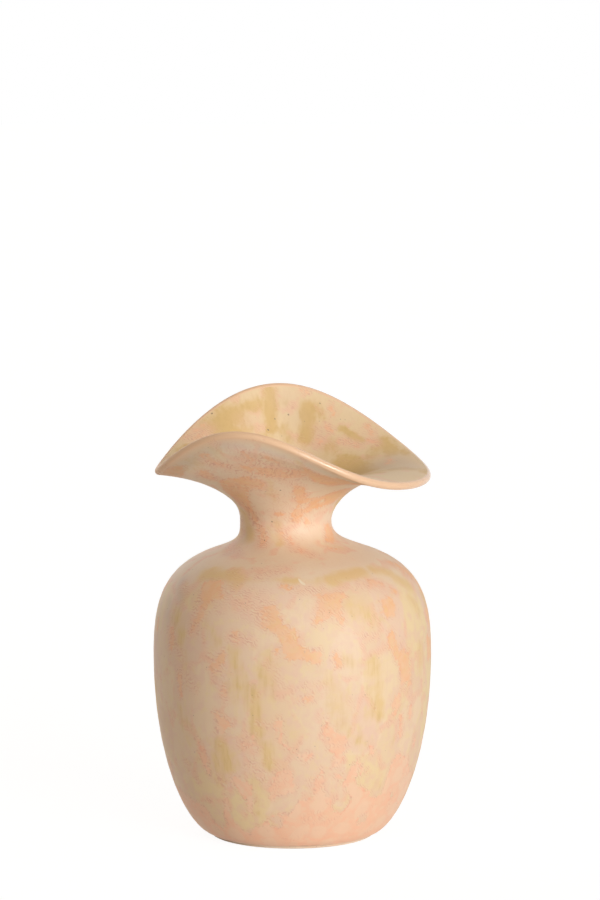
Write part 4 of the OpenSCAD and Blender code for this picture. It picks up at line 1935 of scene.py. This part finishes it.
@dataclass
class ClayBody:
    """The thrown sections and the turned foot: the clay that the glaze covers."""

    form: VaseForm
    turns: int = 192
    belly_steps: int = 40
    shoulder_steps: int = 28
    neck_steps: int = 10
    mouth_steps: int = 32
    lip_steps: int = 8
    corner_steps: int = 5
    floor_steps: int = 12

    def wall(self, start: float, end: float, steps: int) -> list[Ring]:
        """Draws the closed section of a wall.

        Args:
            start: its lower level.
            end: its upper level.
            steps: how many steps lie between them.

        Returns:
            Its rings, up the outside and down the inside.
        """
        climb = levels(start, end, steps)
        outer = [self.form.ring(Face.CLAY_OUT, level) for level in climb]
        inner = [self.form.ring(Face.CLAY_IN, level) for level in reversed(climb)]
        return outer + inner

    def mouth(self) -> list[Ring]:
        """Draws the closed section of the mouth, with its round lip.

        Returns:
            Its rings, up the outside, over the lip and down the inside.
        """
        rings = self.wall(WAIST, RIM, self.mouth_steps)
        radius = 0.5 * self.form.lip_wall
        swings = [180.0 * k / self.lip_steps for k in range(1, self.lip_steps)]
        lip = [self.form.lip_ring(radius, swing) for swing in swings]
        half = len(rings) // 2
        return rings[:half] + lip + rings[half:]

    def foot(self) -> list[Ring]:
        """Draws the closed section of the foot ring, with its lower edges rounded.

        Returns:
            Its rings, from the inside of its top round under it.
        """
        f = self.form
        inner_r = f.foot_r - f.foot_w
        corners = [
            (inner_r + f.foot_round, f.foot_round, 180.0),
            (f.foot_r - f.foot_round, f.foot_round, 270.0),
        ]
        rings = [flat_ring(inner_r, f.foot_h)]
        for radius, height, start in corners:
            for k in range(self.corner_steps + 1):
                way = f.foot_round * angled(start + 90.0 * k / self.corner_steps)
                rings.append(flat_ring(radius + way[0], height + way[1]))
        rings.append(f.ring(Face.CLAY_OUT, HEEL))
        rings.append(flat_ring(f.joint_r(f.foot_h), f.foot_h))
        return rings

    def base(self) -> list[Ring]:
        """Draws the section of the floor.

        Returns:
            Its rings, from the axis out and back over its top.
        """
        f = self.form
        inner = f.section_point(Face.CLAY_IN, HEEL)
        edge = f.joint_r(f.foot_h)
        shares = levels(0.0, 1.0, self.floor_steps)
        under = [flat_ring(edge * share, f.foot_h) for share in shares]
        over = [flat_ring(inner[0] * share, inner[1]) for share in reversed(shares)]
        return under + over

    def pieces(self) -> list[TurnedPiece]:
        """Plans the clay's pieces.

        Returns:
            Their plans, from the foot up.
        """
        plans = (
            ("turned_foot_ring", "foot_ring", "bare_clay", self.foot()),
            ("clay_floor", "base_slab", "bare_clay", self.base()),
            ("belly_wall", "lower_belly", "clay_body", self.wall(HEEL, WIDEST, self.belly_steps)),
            ("shoulder_wall", "shoulder", "clay_body", self.wall(WIDEST, SEAM, self.shoulder_steps)),
            ("neck_wall", "neck_collar", "clay_body", self.wall(SEAM, WAIST, self.neck_steps)),
            ("mouth_wall", "flared_mouth", "clay_body", self.mouth()),
        )
        return [TurnedPiece(*plan, self.turns) for plan in plans]


@dataclass
class GlazeCoats:
    """The two coats of glaze and the stains in them.

    The field limit, the foot depth and the taper's reach are in millimetres.
    The lip fade counts rings, below the rim and past the lip.
    """

    form: VaseForm
    turns: int = 288
    outer_steps: tuple[int, ...] = (78, 52, 18, 50)
    liner_steps: tuple[int, ...] = (30, 22, 16, 64)
    hidden_steps: tuple[int, ...] = (20, 14, 6, 18)
    lip_steps: int = 12
    floor_steps: int = 16
    heel_swings: tuple[float, ...] = (225.0, 270.0, 315.0)
    gather: float = 0.35
    field_limit: float = 14.0
    foot_depth: float = 3.0
    taper_reach: float = 12.5
    lip_fade: Zone = (4.0, 3.0)
    lip_most: float = 0.85
    back_patches: int = 60
    back_spread: Spread = Spread(76, 284, 0.35, 1.85, 0.014, 0.8, 3.0, 10.0)
    seed: int = 11

    def climb(self, steps: tuple[int, ...]) -> list[float]:
        """Lays out levels from the heel to the rim.

        Args:
            steps: how many steps each stretch has.

        Returns:
            The levels.
        """
        rise = [HEEL]
        for index, count in enumerate(steps):
            rise += levels(float(index), index + 1.0, count)[1:]
        return rise

    def outer(self) -> TurnedPiece:
        """Plans the coat on the outside, which goes over the lip.

        Returns:
            Its plan.
        """
        f = self.form
        full = f.glaze_t + 0.5 * f.lip_wall
        swings = [180.0 * k / self.lip_steps for k in range(1, self.lip_steps + 1)]
        rings = [f.heel_ring(swing) for swing in self.heel_swings]
        rings += [f.ring(Face.GLAZED, level) for level in self.climb(self.outer_steps)]
        rings += [f.lip_ring(full, swing) for swing in swings]
        rings += [f.lip_ring(0.5 * f.lip_wall, swing) for swing in reversed(swings)]
        rings += [f.ring(Face.CLAY_OUT, level) for level in reversed(self.climb(self.hidden_steps))]
        names = ("outer_coat", "outer_glaze", "outer_glaze")
        return TurnedPiece(*names, rings, self.turns, gather=self.gather)

    def liner(self) -> TurnedPiece:
        """Plans the coat that lines the floor, the belly, the neck and the mouth.

        Returns:
            Its plan.
        """
        f = self.form
        top = f.section_point(Face.LINED, HEEL)
        under = f.section_point(Face.CLAY_IN, HEEL)
        shares = levels(0.0, 1.0, self.floor_steps)[:-1]
        rings = [flat_ring(top[0] * share, top[1]) for share in shares]
        rings += [f.ring(Face.LINED, level) for level in self.climb(self.liner_steps)]
        rings += [f.ring(Face.CLAY_IN, level) for level in reversed(self.climb(self.hidden_steps))]
        rings += [flat_ring(under[0] * share, under[1]) for share in reversed(shares)]
        names = ("liner_coat", "liner_glaze", "liner_glaze")
        return TurnedPiece(*names, rings, self.turns, gather=-self.gather)

    def spots(self, piece: Piece, points: Array, rise: list[float]) -> Array:
        """Finds the turn and level of each vertex of a coat.

        Args:
            piece: the coat.
            points: its vertices.
            rise: the level of each of its rings.

        Returns:
            Rows of degrees from the front and level.
        """
        numbers = ring_numbers(piece)
        level = np.array(rise)[numbers]
        lean = np.array([self.form.lean(value) for value in rise])[numbers]
        turn = np.degrees(np.arctan2(points[:, 0] + lean, -points[:, 1]))
        return np.stack([turn, level], axis=-1)

    def stain_outside(self, piece: Piece) -> None:
        """Works out the stains of the outer coat and keeps them on its mesh.

        Args:
            piece: the coat.
        """
        work = Brushwork(self.form, Face.GLAZED)
        draw = random.Random(self.seed)
        work.patch_belly(BELLY_PATCHES)
        work.patch_mouth(MOUTH_PATCHES)
        for turn, height, radius in BELLY_CELLS:
            work.bite(work.belly_spot(turn, height), radius)
        for turn, level, radius in MOUTH_CELLS:
            work.bite(work.spot(turn, level), radius)
        for stain, belly, mouth in OUTSIDE_TOUCHES:
            work.touch(stain, belly, work.belly_spot)
            work.touch(stain, mouth, work.spot)
        work.scatter_patches(draw, self.back_patches, self.back_spread)
        for stain, count, spread in OUTSIDE_CHANCE:
            work.scatter(stain, draw, count, spread)
        points = vertex_places(piece)
        climb = self.climb(self.outer_steps)
        heel = [HEEL] * len(self.heel_swings)
        over_lip = [RIM] * (2 * self.lip_steps)
        hidden = list(reversed(self.climb(self.hidden_steps)))
        spots = self.spots(piece, points, heel + climb + over_lip + hidden)
        peach = work.inner_distance(spots, points, self.field_limit)
        turn = (spots[:, 0] + 0.5 * FULL_TURN) % FULL_TURN - 0.5 * FULL_TURN
        edge = np.interp(turn, *zip(*FOOT_PEACH))
        foot = np.clip(edge - points[:, 2] / MM, -self.field_limit, self.foot_depth)
        write_field(piece, Stain.PEACH, work.bitten(np.maximum(peach, foot), points))
        for stain in SOFT_STAINS:
            write_field(piece, stain, work.glow(stain, points))
        write_field(piece, Stain.LIP, self.lip_band(piece))
        write_field(piece, Stain.TAPER, self.lip_taper(piece, points, spots))

    def rim_number(self) -> int:
        """Returns the number of the outer coat's ring at the rim."""
        return len(self.heel_swings) + sum(self.outer_steps)

    def lip_band(self, piece: Piece) -> Array:
        """Works out where the lip's own colour lies.

        Args:
            piece: the outer coat.

        Returns:
            A value for each vertex, highest on the round lip and fading down the outside.
        """
        past = ring_numbers(piece) - self.rim_number() - 1
        below, over = self.lip_fade
        before = np.clip((past + below) / below, 0.0, 1.0)
        after = np.clip((self.lip_steps + 1 - past) / over, 0.0, 1.0)
        return self.lip_most * np.minimum(before, after)

    def lip_taper(self, piece: Piece, points: Array, spots: Array) -> Array:
        """Works out how the outside rounds off towards the lip.

        Args:
            piece: the outer coat.
            points: its vertices.
            spots: their degrees from the front and levels.

        Returns:
            A value for each vertex that rises from 0 below the lip to 1 on its crest.
        """
        rim = self.form.ring(Face.GLAZED, RIM)(FRONT + spots[:, 0])
        below = np.linalg.norm(points - rim, axis=1) / MM
        over = ring_numbers(piece) - self.rim_number()
        half = (self.form.glaze_t + 0.5 * self.form.lip_wall) / MM
        arc = np.clip(over, 0, self.lip_steps) * math.pi * half / self.lip_steps
        crest = self.taper_reach + 0.5 * math.pi * half
        return np.clip((self.taper_reach - np.where(over > 0, 0.0, below) + arc) / crest, 0.0, 1.0)

    def stain_inside(self, piece: Piece) -> None:
        """Works out the stains of the liner and keeps them on its mesh.

        Args:
            piece: the coat.
        """
        work = Brushwork(self.form, Face.LINED)
        draw = random.Random(self.seed + 1)
        for stain, mouth in INSIDE_TOUCHES:
            work.touch(stain, mouth, work.spot)
        for stain, count, spread in INSIDE_CHANCE:
            work.scatter(stain, draw, count, spread)
        points = vertex_places(piece)
        climb = self.climb(self.liner_steps)
        hidden = list(reversed(self.climb(self.hidden_steps)))
        flat = [HEEL] * self.floor_steps
        spots = self.spots(piece, points, flat + climb + hidden + flat)
        write_field(piece, Stain.PEACH, work.inner_distance(spots, points, self.field_limit))
        for stain in SOFT_STAINS:
            write_field(piece, stain, work.glow(stain, points))
        write_field(piece, Stain.LIP, np.zeros(len(points)))


@dataclass(frozen=True)
class Lamp:
    """A soft lamp, far enough off to light the whole vase evenly.

    Its turn is in degrees to the right of the camera, its rise in degrees above
    level, and its spread is the angle that its disc fills.
    """

    name: str
    turn: float
    rise: float
    spread: float
    strength: float

    def hang(self) -> None:
        """Hangs the lamp."""
        data = bpy.data.lights.new(self.name, "SUN")
        data.energy = self.strength
        data.angle = math.radians(self.spread)
        lamp = bpy.data.objects.new(self.name, data)
        bpy.context.scene.collection.objects.link(lamp)
        flat, up = math.radians(self.turn), math.radians(self.rise)
        way = Vector((math.sin(flat) * math.cos(up), -math.cos(flat) * math.cos(up), math.sin(up)))
        lamp.location = 0.5 * (CAD_BOX[0] + CAD_BOX[1]) + way
        lamp.rotation_euler = way.to_track_quat("Z", "Y").to_euler()


@dataclass(frozen=True)
class Studio:
    """Plain pale floor, soft lamps and the camera at the photograph's angle."""

    lamps: tuple[Lamp, ...] = (
        Lamp("key_lamp", 28.0, 6.0, 30.0, 1.26),
        Lamp("spark_lamp", 45.0, 3.0, 25.0, 1.52),
        Lamp("top_lamp", 15.0, 62.0, 90.0, 0.45),
        Lamp("rear_lamp", 205.0, 9.0, 60.0, 0.80),
    )
    air: Colour = (1.0, 0.78, 0.55)
    ambient: float = 0.22
    white: Colour = (1.0, 1.0, 1.0)
    floor_size: float = 60.0
    floor_drop: float = 0.05 * MM
    floor_pale: float = 0.88
    floor_glow: float = 1.162
    glow_share: float = 0.80
    camera_place: Triple = (4.17 * MM, -1900.0 * MM, 411.7 * MM)
    camera_dip: float = 6.03
    camera_lens: float = 140.44
    camera_sensor: float = 36.0

    def build(self) -> None:
        """Makes the floor, the light and the camera."""
        self.lay_floor()
        self.light_world()
        for lamp in self.lamps:
            lamp.hang()
        self.place_camera()

    def lay_floor(self) -> None:
        """Lays a pale floor that shows white but keeps the vase's shadow."""
        bpy.ops.object.select_all(action="DESELECT")
        bpy.ops.mesh.primitive_plane_add(size=self.floor_size, location=(0.0, 0.0, -self.floor_drop))
        floor = bpy.context.active_object
        floor.name = "studio_floor"
        material = bpy.data.materials.new("studio_floor")
        material.use_nodes = True
        tree = material.node_tree
        tree.nodes.clear()
        matt = tree.nodes.new("ShaderNodeBsdfDiffuse")
        matt.inputs["Color"].default_value = (self.floor_pale,) * 3 + (1.0,)
        glow = tree.nodes.new("ShaderNodeEmission")
        glow.inputs["Color"].default_value = (*self.white, 1.0)
        glow.inputs["Strength"].default_value = self.floor_glow
        share = tree.nodes.new("ShaderNodeMath")
        share.operation = "MULTIPLY"
        share.inputs[1].default_value = self.glow_share
        tree.links.new(self.seen_rays(tree), share.inputs[0])
        self.mix_shaders(tree, share.outputs[0], (matt, glow), "ShaderNodeOutputMaterial")
        floor.data.materials.append(material)
        floor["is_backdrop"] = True

    def seen_rays(self, tree: bpy.types.NodeTree) -> Socket:
        """Finds the rays that show the studio.

        Args:
            tree: the node tree that asks.

        Returns:
            1 for camera, glossy and transmission rays.
        """
        path = tree.nodes.new("ShaderNodeLightPath")
        total = path.outputs["Is Camera Ray"]
        for name in ("Is Glossy Ray", "Is Transmission Ray"):
            either = tree.nodes.new("ShaderNodeMath")
            either.operation = "MAXIMUM"
            tree.links.new(total, either.inputs[0])
            tree.links.new(path.outputs[name], either.inputs[1])
            total = either.outputs[0]
        return total

    def mix_shaders(
        self, tree: bpy.types.NodeTree, share: Socket, shaders: tuple[Node, ...], kind: str
    ) -> None:
        """Mixes two shaders into a tree's output.

        Args:
            tree: the node tree.
            share: the share of the second shader.
            shaders: the two shaders.
            kind: the type of the output node.
        """
        mixer = tree.nodes.new("ShaderNodeMixShader")
        output = tree.nodes.new(kind)
        tree.links.new(share, mixer.inputs[0])
        for i, shader in enumerate(shaders):
            tree.links.new(shader.outputs[0], mixer.inputs[i + 1])
        tree.links.new(mixer.outputs[0], output.inputs["Surface"])

    def light_world(self) -> None:
        """Fills the room with even light, and shows it white."""
        world = bpy.data.worlds.new("studio_air")
        bpy.context.scene.world = world
        world.use_nodes = True
        tree = world.node_tree
        tree.nodes.clear()
        airs = []
        for colour, strength in ((self.air, self.ambient), (self.white, 1.0)):
            air = tree.nodes.new("ShaderNodeBackground")
            air.inputs["Color"].default_value = (*colour, 1.0)
            air.inputs["Strength"].default_value = strength
            airs.append(air)
        self.mix_shaders(tree, self.seen_rays(tree), tuple(airs), "ShaderNodeOutputWorld")

    def place_camera(self) -> None:
        """Places the camera where the photograph was taken from."""
        data = bpy.data.cameras.new("camera")
        data.sensor_width = self.camera_sensor
        data.lens = self.camera_lens
        camera = bpy.data.objects.new("camera", data)
        bpy.context.scene.collection.objects.link(camera)
        camera.location = self.camera_place
        camera.rotation_euler = (math.radians(90.0 - self.camera_dip), 0.0, 0.0)
        bpy.context.scene.camera = camera
        bpy.context.scene.view_settings.view_transform = "Standard"


def declare(piece: Piece, plan: TurnedPiece, material: bpy.types.Material) -> None:
    """Gives a piece its material, hangs it under the body's empty, hides the CAD part that it stands
    for and logs it.

    Args:
        piece: the finished mesh object.
        plan: the piece's plan, which names its node and slot.
        material: its finish.
    """
    piece.data.materials.append(material)
    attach(piece, BODY)
    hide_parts(plan.node)
    LOG.info("%s stands for %s with %d faces", piece.name, plan.node, len(piece.data.polygons))


def write_sizes() -> None:
    """Gathers the CAD box and the visual model's box, in metres, as plain lists; nothing is written.
    """
    boxes = {"cad": CAD_BOX, "visual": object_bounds()}
    plain = {name: [list(corner) for corner in box] for name, box in boxes.items()}


def main() -> None:
    """Builds the clay, then the glaze on it, then the studio."""
    logging.basicConfig(level=logging.INFO, format="%(name)s: %(message)s")
    form = VaseForm()
    clay = BareClay("fired_clay").make()
    for plan in ClayBody(form).pieces():
        declare(plan.build(), plan, clay)
    coats = GlazeCoats(form)
    plan = coats.outer()
    piece = plan.build()
    coats.stain_outside(piece)
    outside = MottledGlaze("mottled_glaze", marks=marks(form, Face.GLAZED, OUTSIDE_MARKS))
    declare(piece, plan, outside.make())
    plan = coats.liner()
    piece = plan.build()
    coats.stain_inside(piece)
    inside = MottledGlaze(
        "yellow_glaze",
        cream=(0.84, 0.61, 0.31),
        cream_yellow=(0.85, 0.62, 0.33),
        cream_dull=(0.80, 0.57, 0.34),
        rose=(0.84, 0.59, 0.40),
        pale=(0.88, 0.69, 0.44),
        olive=(0.74, 0.50, 0.19),
        mauve=(0.68, 0.52, 0.42),
        marks=marks(form, Face.LINED, INSIDE_MARKS),
    )
    declare(piece, plan, inside.make())
    Studio().build()
    write_sizes()


if __name__ == "__main__":
    main()
